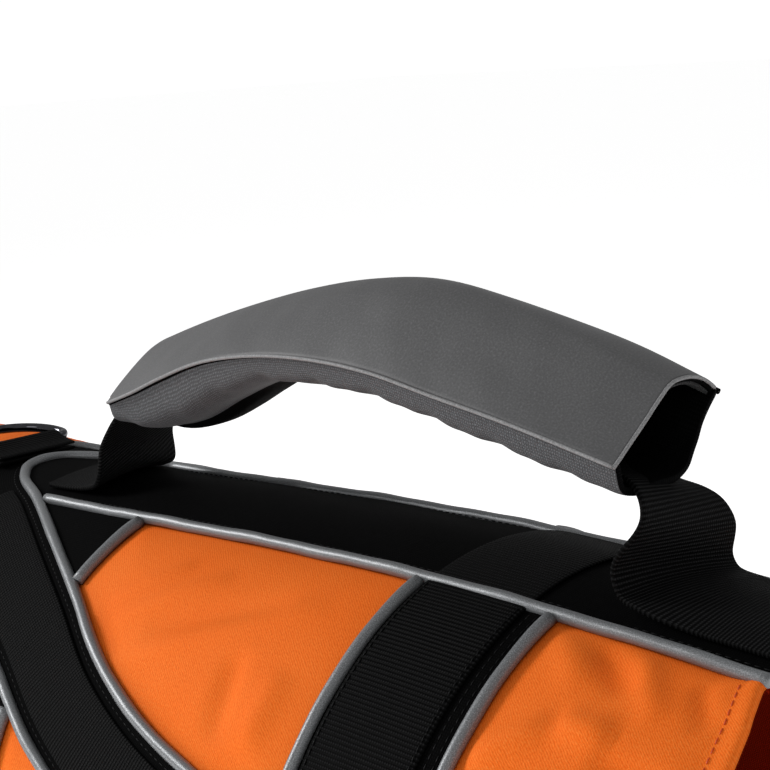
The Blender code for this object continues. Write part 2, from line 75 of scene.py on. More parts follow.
# %% Place the camera
camera_right = Vector((0.7045, 0.7071, -0.0604))
camera_up = Vector((-0.0875, 0.1710, 0.9814))
camera_back = Vector((0.7043, -0.6861, 0.1824))
turn = Matrix((camera_right, camera_up, camera_back)).transposed().to_quaternion()
camera_data = bpy.data.cameras.new("close_up_camera")
camera_data.lens = 84.7
camera_data.sensor_width = 36.0
camera_data.clip_start = 0.01
camera_data.clip_end = 60.0
camera = bpy.data.objects.new("close_up_camera", camera_data)
camera.matrix_world = Matrix.Translation((0.435, -0.416, 0.1715)) @ turn.to_matrix().to_4x4()
bpy.context.scene.collection.objects.link(camera)
bpy.context.scene.camera = camera
print("camera at", [round(value, 3) for value in camera.matrix_world.translation])

# %% [markdown]
# ## Colours and nodes
# Colours are given as sRGB hex values, but shaders work in linear light, so one function
# converts them. A second function adds a node with its settings and its links in one line.

# %% Helpers for materials
def linear(hex_colour):
    """Turns an sRGB hex value into the linear colour that a shader takes."""
    shades = [int(hex_colour[place:place + 2], 16) / 255.0 for place in (1, 3, 5)]
    return (*[s / 12.92 if s <= 0.04045 else ((s + 0.055) / 1.055) ** 2.4 for s in shades], 1.0)


def add_node(tree, kind, inputs=None, **settings):
    """Adds a node. settings are its own properties, and inputs are values or sockets to link."""
    node = tree.nodes.new(kind)
    for name, value in settings.items():
        setattr(node, name, value)
    for name, value in (inputs or {}).items():
        if isinstance(value, bpy.types.NodeSocket):
            tree.links.new(value, node.inputs[name])
        else:
            node.inputs[name].default_value = value
    return node


def new_material(name, **inputs):
    """A material with its Principled shader, whose inputs are set directly."""
    material = bpy.data.materials.new(name)
    material.use_nodes = True
    tree = material.node_tree
    shader = tree.nodes["Principled BSDF"]
    for key, value in inputs.items():
        shader.inputs[key.replace("_", " ")].default_value = value
    return material, tree, shader


def ramp(tree, factor, stops):
    """A colour ramp between stops of (place, hex colour)."""
    node = add_node(tree, "ShaderNodeValToRGB", {"Fac": factor})
    elements = node.color_ramp.elements
    while len(elements) < len(stops):
        elements.new(0.5)
    for element, (place, colour) in zip(elements, stops):
        element.position = place
        element.color = linear(colour)
    return node.outputs["Color"]


def maths(tree, operation, first, second):
    return add_node(tree, "ShaderNodeMath", {0: first, 1: second}, operation=operation).outputs[0]
def weighted(tree, *parts):
    """The sum of several values, each one given with its weight."""
    terms = [maths(tree, "MULTIPLY", value, weight) for value, weight in parts]
    total = terms[0]
    for term in terms[1:]:
        total = maths(tree, "ADD", total, term)
    return total


def threads(tree, cut, spacing_mm, direction="X", distortion=0.0):
    """Waves across the cloth, one for each thread. A wave of scale 1 is pi / 10 long."""
    scale = math.pi / 10.0 / (spacing_mm * MM)
    wave = add_node(tree, "ShaderNodeTexWave",
                    {"Vector": cut, "Scale": scale, "Distortion": distortion, "Detail": 1.0},
                    bands_direction=direction)
    return wave.outputs["Fac"]


def plain_weave(tree, cut, spacing_mm, distortion):
    """Threads both ways, multiplied, which leaves a knuckle wherever two of them cross."""
    return maths(tree, "MULTIPLY", threads(tree, cut, spacing_mm, "X", distortion),
                 threads(tree, cut, spacing_mm, "Y", distortion))


def speckle(tree, cut, size_mm, detail=2.0):
    noise = add_node(tree, "ShaderNodeTexNoise",
                     {"Vector": cut, "Scale": 1.0 / (size_mm * MM), "Detail": detail})
    return noise.outputs["Fac"]


def paint(tree, shader, factor, stops):
    """Colours a material with a ramp."""
    tree.links.new(ramp(tree, factor, stops), shader.inputs["Base Color"])


def cut_map(tree):
    """The flat cutting pattern of a piece, in metres, which weaves follow."""
    return add_node(tree, "ShaderNodeUVMap", uv_map="cut").outputs["UV"]


def add_bump(tree, shader, height, depth_mm, strength=1.0):
    bump = add_node(tree, "ShaderNodeBump",
                    {"Height": height, "Distance": depth_mm * MM, "Strength": strength})
    tree.links.new(bump.outputs["Normal"], shader.inputs["Normal"])


print("orange in linear light:", [round(value, 3) for value in linear("#F5722A")])

# %% [markdown]
# ## Orange shell cloth
# The shell is a coated polyester twill: fine diagonal ribs and a soft satin sheen. The real ribs
# are about 0.4 mm apart, too fine to show here, so they are drawn at 0.75 mm. Two scales of
# noise make the dye and the yarn a little uneven, as they are on real cloth.

# %% Orange twill
TWILL_ANGLE, TWILL_RIBS, LINING_THREADS = math.radians(52.0), 0.75, 0.9

orange_twill, tree, shader = new_material(
    "orange_polyester_twill", Roughness=0.75, Specular_IOR_Level=0.1, Sheen_Weight=0.04,
    Sheen_Roughness=0.4, Sheen_Tint=linear("#FF9A55"))
cut = cut_map(tree)
turned = add_node(tree, "ShaderNodeMapping", {"Vector": cut, "Rotation": (0.0, 0.0, TWILL_ANGLE)})
ribs = threads(tree, turned.outputs["Vector"], TWILL_RIBS, "X", 3.0)
yarn = speckle(tree, cut, 0.8, 3.0)
dye = speckle(tree, cut, 34.0)
paint(tree, shader, weighted(tree, (ribs, 0.18), (yarn, 0.62), (dye, 0.2)),
      [(0.25, "#E9600F"), (0.5, "#FB7420"), (0.8, "#FF8B3A")])
add_bump(tree, shader, weighted(tree, (ribs, 1.0), (yarn, 3.0)), 0.05, 0.8)

# The inside faces take a dark rust-red cloth: its dark colour is painted shade, for the shadowed
# inside past the tail hem.
painted_shade_lining, tree, shader = new_material(
    "painted_shade_lining_plain_weave", Roughness=0.85, Specular_IOR_Level=0.0)
weave = plain_weave(tree, cut_map(tree), LINING_THREADS, 0.5)
paint(tree, shader, weave, [(0.1, "#480A02"), (0.9, "#701505")])
add_bump(tree, shader, weave, 0.08, 0.6)
print("materials", orange_twill.name, painted_shade_lining.name)

# %% [markdown]
# ## Black webbing and black cloth
# Polyester webbing has cross ribs where the filling yarns turn over: about 1.4 mm apart here.
# Each rib is broken into small knuckles by the warp yarns. The bands under the webbing are a
# plain nylon weave, flatter and finer. The tops of the ribs and threads are painted a lighter
# dark grey as a painted highlight, and the grooves between them near black as painted shade.

# %% Webbing and band cloth
WARP_THREADS, NYLON_THREADS = 0.95, 0.9


def webbing_material(name, rib_mm, depth_mm, tops):
    """Webbing with ribs rib_mm apart; tops is the colour of the tops of its ribs, a painted
    highlight.
    """
    material, tree, shader = new_material(name, Roughness=0.65, Specular_IOR_Level=0.05)
    cut = cut_map(tree)
    ribs = threads(tree, cut, rib_mm, "Y", 0.25)
    warp = maths(tree, "MULTIPLY", threads(tree, cut, WARP_THREADS, "X", 0.4), 0.55)
    height = maths(tree, "MULTIPLY", ribs, maths(tree, "ADD", warp, 0.45))
    # The colour follows the rib height: painted highlight on the rib tops, painted shade in the
    # grooves.
    paint(tree, shader, weighted(tree, (height, 0.8), (speckle(tree, cut, 1.3), 0.25)),
          [(0.3, "#020202"), (0.95, tops)])
    add_bump(tree, shader, height, depth_mm)
    return material


black_webbing = webbing_material("black_polyester_webbing", 1.45, 0.42, "#1c1c1d")
handle_webbing_finish = webbing_material("black_handle_webbing", 1.35, 0.45, "#29292a")

black_cloth, tree, shader = new_material(
    "black_nylon_plain_weave", Roughness=0.8, Specular_IOR_Level=0.03)
cut = cut_map(tree)
weave = plain_weave(tree, cut, NYLON_THREADS, 0.5)
# The colour follows the weave: painted highlight on the knuckles, painted shade between them.
paint(tree, shader, weighted(tree, (weave, 0.6), (speckle(tree, cut, 2.2), 0.4)),
      [(0.1, "#010101"), (0.9, "#0b0b0c")])
add_bump(tree, shader, weave, 0.12, 0.8)
print("materials", black_webbing.name, handle_webbing_finish.name, black_cloth.name)

# %% [markdown]
# ## Grey piping, handle cloth and thread
# The piping is reflective tape folded over a cord. Its glass beads give a fine light speckle and
# a broad silvery highlight, so it is partly metallic and only fairly rough. The handle's cover
# has a smooth laminated jersey on top and a coarser Oxford weave under it.

# %% Piping, handle fabrics and thread
OXFORD_KNOTS = 0.95

piping_tape, tree, shader = new_material("reflective_piping_tape", Roughness=0.4, Metallic=0.35)
cut = cut_map(tree)
beads = speckle(tree, cut, 0.4, 3.0)
paint(tree, shader, beads, [(0.3, "#606264"), (0.55, "#808284"), (0.75, "#acafb1")])
add_bump(tree, shader, weighted(tree, (beads, 1.0), (speckle(tree, cut, 5.0), 3.0)), 0.08, 0.7)

# The laminated jersey is smooth and satin, with a very fine sparkle and soft, broad dents.
coated_jersey, tree, shader = new_material(
    "charcoal_laminated_jersey", Roughness=0.55, Sheen_Weight=0.08, Sheen_Roughness=0.35)
cut = cut_map(tree)
sparkle = speckle(tree, cut, 0.8, 3.0)
dents = speckle(tree, cut, 24.0, 1.0)
paint(tree, shader, sparkle, [(0.3, "#4c4c4d"), (0.55, "#565657"), (0.78, "#686869")])
add_bump(tree, shader, weighted(tree, (sparkle, 1.0), (dents, 26.0)), 0.05, 0.8)

# Its raw edge shows the lighter core of the laminate.
raw_edge, tree, shader = new_material("grey_laminate_raw_edge", Roughness=0.7)
paint(tree, shader, speckle(tree, cut_map(tree), 0.7), [(0.3, "#6f6f70"), (0.7, "#9a9a9b")])

# Oxford cloth is a basket weave, whose knots show as a fine grid.
oxford, tree, shader = new_material("grey_oxford_basket_weave", Roughness=0.75, Sheen_Weight=0.08)
cut = cut_map(tree)
knots = plain_weave(tree, cut, OXFORD_KNOTS, 2.5)
paint(tree, shader, weighted(tree, (knots, 0.4), (speckle(tree, cut, 1.1, 3.0), 0.6)),
      [(0.15, "#2e2f31"), (0.45, "#47494c"), (0.85, "#7a7d80")])
add_bump(tree, shader, knots, 0.16, 0.8)

# Hook-and-loop tape inside the sleeve has a dense black pile.
loop_pile, tree, shader = new_material("black_loop_pile", Roughness=0.95, Sheen_Weight=0.1)
pile = speckle(tree, cut_map(tree), 0.9, 4.0)
paint(tree, shader, pile, [(0.35, "#050505"), (0.7, "#1c1c1d")])
add_bump(tree, shader, pile, 0.5)

black_thread = new_material("black_polyester_thread", Roughness=0.5, Specular_IOR_Level=0.1,
                            Base_Color=linear("#101011"))[0]
orange_thread = new_material("orange_polyester_thread", Roughness=0.5,
                             Base_Color=linear("#D2500F"))[0]
print("materials", len(bpy.data.materials))

# %% [markdown]
# ## The form of the body
# All the cloth lies on one barrel shape. It is given by a row of ellipses along the back, and a
# smooth curve runs through them. A place on the garment is then three numbers: x along the back,
# the distance down the side from the middle of the back, and the height above the panels.

# %% The body surface
# Columns: x, top, half width, half height, in millimetres, as in the part.
SECTIONS = (
    (-298.0, 12.5, 112.0, 84.0), (-245.0, 9.2, 118.0, 98.0), (-200.0, 8.2, 119.0, 110.0),
    (-150.0, 8.6, 117.0, 123.0), (-90.0, 10.4, 115.0, 130.0), (-20.0, 12.0, 115.0, 130.0),
    (60.0, 11.7, 115.0, 130.0), (120.0, 8.9, 114.0, 130.0), (187.0, 4.1, 111.0, 126.0),
)
NECK, TAIL = -298.0, 187.0


def lengths_along(points):
    """How far each point is from the first one, along the line that they make."""
    return np.concatenate([[0.0], np.cumsum(np.linalg.norm(np.diff(points, axis=0), axis=1))])


def smooth_through(table, places):
    """Reads every column of a table on a smooth curve through its rows. Column 0 is the place."""
    table = np.asarray(table, float)
    places = np.atleast_1d(np.asarray(places, float))
    at, values = table[:, 0], table[:, 1:]
    slopes = np.gradient(values, at, axis=0)
    row = np.clip(np.searchsorted(at, places) - 1, 0, len(at) - 2)
    span = (at[row + 1] - at[row])[:, None]
    share = (places[:, None] - at[row][:, None]) / span
    squared, cubed = share ** 2, share ** 3
    start, end = values[row], values[row + 1]
    leaving, arriving = span * slopes[row], span * slopes[row + 1]
    return ((2 * cubed - 3 * squared + 1) * start + (cubed - 2 * squared + share) * leaving
            + (3 * squared - 2 * cubed) * end + (cubed - squared) * arriving)


# The tables below are read often, so they are worked out once, for every millimetre of length.
XS = np.arange(NECK - 7.0, TAIL + 9.0, 1.0)
TOPS, HALF_WIDTHS, HALF_HEIGHTS = smooth_through(SECTIONS, XS).T
ANGLES = np.linspace(0.0, math.pi, 721)
SHARES = np.linspace(0.0, 1.0, 301)
HALF_GIRTHS = []
ANGLE_ROWS = []
for half_width, half_height in zip(HALF_WIDTHS, HALF_HEIGHTS):
    steps = np.hypot(np.diff(half_width * np.sin(ANGLES)), np.diff(half_height * np.cos(ANGLES)))
    distances = np.concatenate([[0.0], np.cumsum(steps)])
    HALF_GIRTHS.append(distances[-1])
    ANGLE_ROWS.append(np.interp(SHARES * distances[-1], distances, ANGLES))
HALF_GIRTHS = np.array(HALF_GIRTHS)
ANGLE_ROWS = np.array(ANGLE_ROWS)


def on_body(x, along, height=0.0):
    """Points in millimetres at x, at a distance down the side (left is negative) and a height."""
    x, along, height = np.broadcast_arrays(*[np.asarray(v, float) for v in (x, along, height)])
    top, wide, high = (np.interp(x, XS, column) for column in (TOPS, HALF_WIDTHS, HALF_HEIGHTS))
    # Both places stay just inside the last cell, because the cell after them is read as well.
    row = np.clip(x - XS[0], 0.0, len(XS) - 1.001)
    column = np.abs(along) / np.interp(x, XS, HALF_GIRTHS) * (len(SHARES) - 1)
    column = np.clip(column, 0.0, len(SHARES) - 1.001)
    r, c = row.astype(int), column.astype(int)
    dr, dc = row - r, column - c
    angle = ((ANGLE_ROWS[r, c] * (1 - dc) + ANGLE_ROWS[r, c + 1] * dc) * (1 - dr)
             + (ANGLE_ROWS[r + 1, c] * (1 - dc) + ANGLE_ROWS[r + 1, c + 1] * dc) * dr)
    out_y, out_z = np.sin(angle) / wide, np.cos(angle) / high
    length = np.hypot(out_y, out_z)
    y = wide * np.sin(angle) + height * out_y / length
    z = top - high + high * np.cos(angle) + height * out_z / length
    return np.stack([x, np.where(along < 0, -y, y), z], axis=-1)


def half_girth(x):
    return float(np.interp(x, XS, HALF_GIRTHS))


print("girth behind the forelegs, mm:", round(2 * half_girth(-120.0)))

# %% [markdown]
# ## Lines of the pattern
# The lower edge of the panels, the horseshoe yoke and the belts are lines in that flat map of
# (x, distance down the side). Every cloth piece and every line of piping is drawn along them.

# %% Pattern lines
# Columns: x, distance of the panel's lower edge.
PANEL_EDGE = (
    (-298.0, 150.0), (-285.0, 186.0), (-262.0, 204.0), (-236.0, 198.0), (-208.0, 182.0),
    (-182.0, 188.0), (-162.0, 222.0), (-145.0, 255.0), (-118.0, 264.0), (-90.0, 264.0),
    (-55.0, 260.0), (-20.0, 256.0), (16.0, 254.0), (52.0, 256.0), (80.0, 257.0), (106.0, 252.0),
    (128.0, 230.0), (148.0, 196.0), (164.0, 160.0), (176.0, 122.0), (187.0, 78.0),
)
# Columns: x, distance of the yoke's rear edge.
YOKE_REAR_EDGE = (
    (-200.0, 0.0), (-197.0, 9.0), (-187.0, 18.0), (-158.0, 32.0), (-120.0, 52.0), (-84.0, 72.0),
    (-50.0, 93.0), (-20.0, 106.5), (12.0, 116.0), (49.0, 124.0),
)
YOKE_WIDTH, YOKE_END, YOKE_TIP = 38.0, 49.2, -238.0
SPINE_HALF, SPINE_FRONT, SPINE_END = 31.0, -200.0, 177.6
REAR_BELT = (52.0, 105.0)
FRONT_BELT = (-147.0, -90.0)
WEBBING_FROM, WEBBING_WIDE = 3.6, 40.0
SIDES = (("left", -1.0), ("right", 1.0))


def panel_low(x):
    return np.interp(x, *zip(*PANEL_EDGE))


def yoke_line(offset, count=60, finer=8):
    """A line parallel to the yoke's rear edge, from the middle of the back down one side."""
    table = np.array(YOKE_REAR_EDGE)
    lengths = lengths_along(table)
    # The points crowd towards the middle of the back, where the line bends most.
    shares = np.linspace(0.0, 1.0, finer * count + 1) ** 1.6
    dense = smooth_through(np.column_stack([lengths, table]), shares * lengths[-1])
    dense[0, 1] = 0.0
    tangents = np.gradient(dense, axis=0)
    tangents[0] = (0.0, 1.0)
    tangents /= np.linalg.norm(tangents, axis=1)[:, None]
    line = (dense + offset * np.column_stack([-tangents[:, 1], tangents[:, 0]]))[::finer]
    line[:, 0] = np.minimum(line[:, 0], YOKE_END)
    return line


def yoke_along(offset, x):
    line = yoke_line(offset)
    return np.interp(x, line[:, 0], line[:, 1])


def both_sides(line):
    """Carries a line on one side over the middle of the back to the other side."""
    mirrored = line[::-1] * (1.0, -1.0)
    return np.concatenate([mirrored, line[1:]])


print("yoke arm reaches the rear belt at", yoke_line(0.0)[-1].round(1))

# %% [markdown]
# ## Making a piece of cloth
# A piece is two grids of points, one for its outer face and one for its inner face, closed round
# the edge. Its UV map is its flat cutting pattern in metres, so a weave keeps its true size
# wherever the cloth bends.

# %% Mesh helpers
def make_piece(name, points, quads, cut, finish, caps=()):
    """One object from points in millimetres, with faces turned outwards and smooth shading."""
    points = np.asarray(points, float).reshape(-1, 3) * MM
    quads = np.asarray(quads)
    a, b, c, d = (points[quads[:, corner]] for corner in range(4))
    if (a * np.cross(b, c)).sum() + (a * np.cross(c, d)).sum() < 0:
        quads = quads[:, ::-1]
        caps = [cap[::-1] for cap in caps]
    faces = quads.tolist() + [list(cap) for cap in caps]
    mesh = bpy.data.meshes.new(name)
    mesh.from_pydata(points.tolist(), [], faces)
    layer = mesh.uv_layers.new(name="cut")
    corners = np.array([corner for face in faces for corner in face])
    layer.data.foreach_set("uv", (np.asarray(cut, float).reshape(-1, 2) * MM)[corners].ravel())
    mesh.polygons.foreach_set("use_smooth", [True] * len(faces))
    mesh.materials.append(finish)
    made = bpy.data.objects.new(name, mesh)
    bpy.context.scene.collection.objects.link(made)
    return made


def shell(name, outer, inner, cut, finish):
    """Closes two grids of points, rows by columns, into one thin solid."""
    outer, inner = np.asarray(outer, float), np.asarray(inner, float)
    rows, columns = outer.shape[:2]
    index = np.arange(rows * columns).reshape(rows, columns)
    under = index + rows * columns
    quads = [
        np.stack([index[:-1, :-1], index[:-1, 1:], index[1:, 1:], index[1:, :-1]], -1),
        np.stack([under[:-1, :-1], under[1:, :-1], under[1:, 1:], under[:-1, 1:]], -1),
        np.stack([index[0, 1:], index[0, :-1], under[0, :-1], under[0, 1:]], -1),
        np.stack([index[-1, :-1], index[-1, 1:], under[-1, 1:], under[-1, :-1]], -1),
        np.stack([index[:-1, 0], index[1:, 0], under[1:, 0], under[:-1, 0]], -1),
        np.stack([index[1:, -1], index[:-1, -1], under[:-1, -1], under[1:, -1]], -1),
    ]
    quads = np.concatenate([part.reshape(-1, 4) for part in quads])
    cut = np.asarray(cut, float).reshape(-1, 2)
    points = np.concatenate([outer.reshape(-1, 3), inner.reshape(-1, 3)])
    return make_piece(name, points, quads, np.concatenate([cut, cut]), finish)


def soften(made, levels=1):
    """Rounds a piece with an applied Subdivision Surface."""
    rounding = made.modifiers.new("soft edges", "SUBSURF")
    rounding.levels = rounding.render_levels = levels
    bpy.context.view_layer.objects.active = made
    bpy.ops.object.modifier_apply(modifier=rounding.name)
    return made


def tube(name, path, radius, finish, sides=12):
    """Sweeps a round section along a path of points, turning it as little as it can."""
    path = np.asarray(path, float)
    count = len(path)
    tangents = np.gradient(path, axis=0)
    tangents /= np.linalg.norm(tangents, axis=1)[:, None]
    side = np.cross(tangents[0], (0.0, 0.0, 1.0))
    if np.linalg.norm(side) < 0.1:
        side = np.cross(tangents[0], (0.0, 1.0, 0.0))
    radii = np.broadcast_to(radius, count)
    angles = np.linspace(0.0, 2.0 * math.pi, sides, endpoint=False)
    points, cut = [], []
    for place, tangent, length, size in zip(path, tangents, lengths_along(path), radii):
        side = side - tangent * np.dot(side, tangent)
        side /= np.linalg.norm(side)
        up = np.cross(side, tangent)
        ring = np.cos(angles)[:, None] * side + np.sin(angles)[:, None] * up
        points.append(place + size * ring)
        cut.append(np.column_stack([size * angles, np.full(sides, length)]))
    index = np.arange(count * sides).reshape(count, sides)
    index = np.concatenate([index, index[:, :1]], axis=1)
    quads = np.stack([index[:-1, :-1], index[:-1, 1:], index[1:, 1:], index[1:, :-1]], -1)
    caps = (list(range(sides))[::-1], list(range((count - 1) * sides, count * sides)))
    return make_piece(name, points, quads.reshape(-1, 4), cut, finish, caps)


def evenly(line, step):
    """Points spaced evenly along a line of any dimension."""
    line = np.asarray(line, float)
    lengths = lengths_along(line)
    places = np.linspace(0.0, lengths[-1], max(2, int(round(lengths[-1] / step)) + 1))
    return np.stack([np.interp(places, lengths, column) for column in line.T], axis=-1)


PIECES = []


def settle(made, nodes, body="garment"):
    """Rides on its body, stands for its CAD nodes, which it hides, and is listed in PIECES."""
    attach(made, body)
    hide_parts(*nodes)
    PIECES.append(made.name)
    return made


def lay_cloth(cut):
    """Works out a flat cutting pattern in metres, and keeps nothing."""
    cut = np.asarray(cut, float) * MM


print("even steps in 10 mm:", len(evenly([(0.0, 0.0), (10.0, 0.0)], 2.5)) - 1)

# %% [markdown]
# ## Foam-filled side panels
# Each side is one panel of foam between two layers of the orange twill. Between the seams the
# foam pushes the cloth up, and at a seam it is pinched down, so the height grows with the
# distance from the nearest seam line. A few soft folds are then listed one by one, because real
# folds are uneven: the cloth sim that suits a loose cushion would smooth foam board into a
# balloon. The right side gets folds of the same kind in other places.

# %% Seam lines and folds
def far_from(x, along, line):
    """Distance of each place from a broken line in the flat map."""
    nearest = np.full(x.shape, 1e9)
    for start, end in zip(line[:-1], line[1:]):
        run = np.subtract(end, start)
        share = ((x - start[0]) * run[0] + (along - start[1]) * run[1]) / max(run @ run, 1e-9)
        share = np.clip(share, 0.0, 1.0)
        away = np.hypot(x - start[0] - share * run[0], along - start[1] - share * run[1])
        nearest = np.minimum(nearest, away)
    return nearest


def ease(value):
    value = np.clip(value, 0.0, 1.0)
    return value * value * (3.0 - 2.0 * value)


def fold(x, along, start, end, width, height):
    """A soft ridge, or with a negative height a hollow, along a line. It fades at both ends."""
    run = np.subtract(end, start)
    length = np.hypot(*run)
    share = ((x - start[0]) * run[0] + (along - start[1]) * run[1]) / length ** 2
    aside = ((x - start[0]) * run[1] - (along - start[1]) * run[0]) / length
    fade = np.clip(1.0 - np.abs(2.0 * share - 1.0) ** 3, 0.0, 1.0)
    return height * fade * np.exp(-((aside / width) ** 2))


# Columns: x of a seam that crosses the panel, where it starts and where it ends down the side.
CROSS_SEAMS = (
    (REAR_BELT[0], SPINE_HALF, 256.0), (REAR_BELT[1], SPINE_HALF, 256.0),
    (FRONT_BELT[0], 85.0, 256.0), (FRONT_BELT[1], SPINE_HALF, 264.0),
)
SEAMS = [yoke_line(0.0, 24), yoke_line(YOKE_WIDTH, 24),
         [(SPINE_FRONT, SPINE_HALF), (TAIL, SPINE_HALF)], [(NECK, 0.0), (-236.0, 0.0)]]
SEAMS += [[(x, start), (x, end)] for x, start, end in CROSS_SEAMS]
# Columns: start, end, width, height. The first rows shape the parts that show most.
FOLDS = {
    "left": (
        ((-73.0, 76.0), (-47.0, 91.0), 4.0, -2.4), ((-66.0, 72.0), (-40.0, 48.0), 4.0, 1.3),
        ((-59.0, 78.0), (-18.0, 50.0), 4.0, 1.6), ((-40.0, 78.0), (17.0, 55.0), 5.0, -1.8),
        ((-46.0, 90.0), (31.0, 52.0), 5.0, 1.3), ((15.0, 106.0), (9.0, 76.0), 5.0, -2.2),
        ((30.0, 106.0), (31.0, 78.0), 6.0, 1.9), ((125.0, 34.0), (146.0, 52.0), 4.5, -2.6),
        ((112.0, 36.0), (131.0, 54.0), 5.0, 1.5), ((138.0, 34.0), (160.0, 56.0), 4.5, 2.2),
        ((166.0, 38.0), (176.0, 54.0), 3.5, -1.8), ((108.0, 86.0), (131.0, 66.0), 5.0, 3.2),
        ((131.0, 66.0), (150.0, 64.0), 5.0, 3.4), ((146.0, 73.0), (172.0, 71.0), 3.5, -2.0),
        ((-76.0, 96.0), (-40.0, 170.0), 7.6, 2.0), ((-60.0, 150.0), (20.0, 200.0), 8.5, 2.2),
        ((0.0, 130.0), (46.0, 160.0), 6.6, -2.0), ((115.0, 130.0), (165.0, 120.0), 7.6, 2.3),
        ((112.0, 180.0), (140.0, 170.0), 6.6, -1.7), ((-290.0, 60.0), (-240.0, 90.0), 7.6, 2.0),
        ((-285.0, 110.0), (-235.0, 140.0), 6.6, -1.9), ((-230.0, 110.0), (-160.0, 150.0), 8.5, 2.3),
        ((-200.0, 160.0), (-152.0, 190.0), 6.6, -1.7),
    ),
    "right": (
        ((-30.0, 84.0), (10.0, 70.0), 6.6, 1.3), ((0.0, 98.0), (34.0, 60.0), 5.7, -1.3),
        ((-40.0, 120.0), (30.0, 150.0), 7.6, 2.0), ((10.0, 180.0), (46.0, 150.0), 6.6, -1.9),
        ((120.0, 36.0), (142.0, 66.0), 4.3, -1.7), ((136.0, 30.0), (160.0, 70.0), 6.6, 2.0),
        ((116.0, 100.0), (165.0, 80.0), 5.7, 2.9), ((112.0, 150.0), (150.0, 140.0), 6.6, -1.7),
        ((-80.0, 120.0), (-30.0, 200.0), 8.5, 2.0), ((-70.0, 210.0), (30.0, 215.0), 8.5, 1.9),
        ((-290.0, 70.0), (-242.0, 96.0), 7.6, 2.2), ((-280.0, 130.0), (-240.0, 120.0), 6.6, -1.7),
        ((-235.0, 120.0), (-165.0, 140.0), 8.5, 2.0), ((-196.0, 150.0), (-155.0, 200.0), 6.6, -1.6),
    ),
}
# The tail hem is cut back beside the spine. Columns: distance down the side, how far.
HEM_CUT = ((0.0, 9.4), (34.0, 9.4), (40.0, 7.6), (48.0, 5.6), (60.0, 4.2), (85.0, 1.8),
           (120.0, 0.0), (300.0, 0.0))
CUT_BACK_LENGTH, HEM_LIFT_LENGTH = 47.0, 19.0
# How high the foam pushes the cloth, and how far from a seam it takes to get there.
PUFF, PUFF_REACH = 3.4, 13.0
HEM_PUFF, HEM_REACH = 1.5, 1.6
UNDER_BAND = -0.35
FOAM, TURNED_EDGE, TAPER, ROLL = 12.0, 4.0, 15.0, 2.0
HEM = 8.0
HEM_SEAM = HEM - 0.5


def cut_back(x, along):
    """How far the tail end of a panel is drawn forward at a place."""
    reach = np.interp(along, *zip(*HEM_CUT))
    return reach * ease((x - TAIL + CUT_BACK_LENGTH) / CUT_BACK_LENGTH)


def hem_lift(x, along, side):
    """The tail hem lifts off the back beside the spine and waves a little further down."""
    beside_spine = 1.6 * np.exp(-((along - 36.0) / 16.0) ** 2)
    waves = 0.7 * np.sin(along / 11.0 + side) * ease((along - 30.0) / 20.0)
    return ease((x - TAIL + HEM_LIFT_LENGTH) / HEM_LIFT_LENGTH) * (beside_spine + waves)


def covered(x, along):
    """True where a band lies over the panel."""
    spine = (along < SPINE_HALF) & (x > SPINE_FRONT)
    in_yoke = (along < yoke_along(YOKE_WIDTH, x)) & (x < YOKE_END) & (x > YOKE_TIP)
    in_yoke &= (x < SPINE_FRONT) | (along > yoke_along(0.0, x))
    rear = (x > REAR_BELT[0]) & (x < REAR_BELT[1]) & (along > SPINE_HALF)
    front = (x > FRONT_BELT[0]) & (x < FRONT_BELT[1]) & (along > SPINE_HALF)
    return spine | in_yoke | rear | front


def panel_height(x, along, side_name):
    """Height of the outer face, and how thick the panel is there."""
    to_edge = np.minimum.reduce([far_from(x, along, PANEL_EDGE), x - NECK, TAIL - x])
    to_seam = np.minimum.reduce([far_from(x, along, line) for line in SEAMS])
    hem_seam = np.abs(to_edge - HEM_SEAM)
    puff = PUFF * (1.0 - np.exp(-np.minimum(to_seam, hem_seam + 3.0) / PUFF_REACH))
    puff = np.where(to_edge < HEM_SEAM, HEM_PUFF * (1.0 - np.exp(-hem_seam / HEM_REACH)), puff)
    for start, end, width, height in FOLDS[side_name]:
        puff = puff + fold(x, along, start, end, width, height) * ease((to_seam - 1.0) / 7.0)
    puff = np.where(covered(x, along), UNDER_BAND, puff)
    thick = TURNED_EDGE + (FOAM - TURNED_EDGE) * ease((to_edge - 3.0) / TAPER)
    rolled = np.clip(1.0 - to_edge / ROLL, 0.0, 1.0)
    drop = ROLL * (1.0 - np.sqrt(1.0 - rolled ** 2))
    return puff - drop, thick - 2.0 * drop


print("folds placed by hand:", sum(len(rows) for rows in FOLDS.values()))

# %% Side panels
# The grid's rows crowd together towards its edges, where the hem rolls over.
PANEL_XS = np.concatenate([
    NECK + np.array([0.0, 0.4, 1.2, 2.4]), np.arange(NECK + 4.5, TAIL - 3.0, 2.3),
    TAIL - np.array([2.6, 1.6, 0.8, 0.3, 0.0])])
PANEL_SHARES = np.concatenate([np.linspace(0.0, 0.985, 112), [0.991, 0.9955, 0.9985, 1.0]])
MIDDLE_GAP = 0.2
for side_name, side in SIDES:
    x = np.repeat(PANEL_XS[:, None], len(PANEL_SHARES), axis=1)
    depth = panel_low(PANEL_XS)[:, None] - MIDDLE_GAP
    along = MIDDLE_GAP + PANEL_SHARES[None, :] * depth
    height, thick = panel_height(x, along, side_name)
    height = height + hem_lift(x, along, side)
    placed = x - cut_back(x, along)
    outer = on_body(placed, side * along, height)
    inner = on_body(placed, side * along, height - thick)
    cut = np.stack([x, along], axis=-1)
    made = shell("foam_side_panel_" + side_name, outer, inner, cut, orange_twill)
    # The faces of the inner grid come second, and they take the lining, coloured dark as painted
    # shade.
    made.data.materials.append(painted_shade_lining)
    outer_faces = (x.shape[0] - 1) * (x.shape[1] - 1)
    for face in made.data.polygons[outer_faces:2 * outer_faces]:
        face.material_index = 1
    settle(made, ["side_panel_" + side_name])
    print(made.name, len(made.data.polygons), "faces")

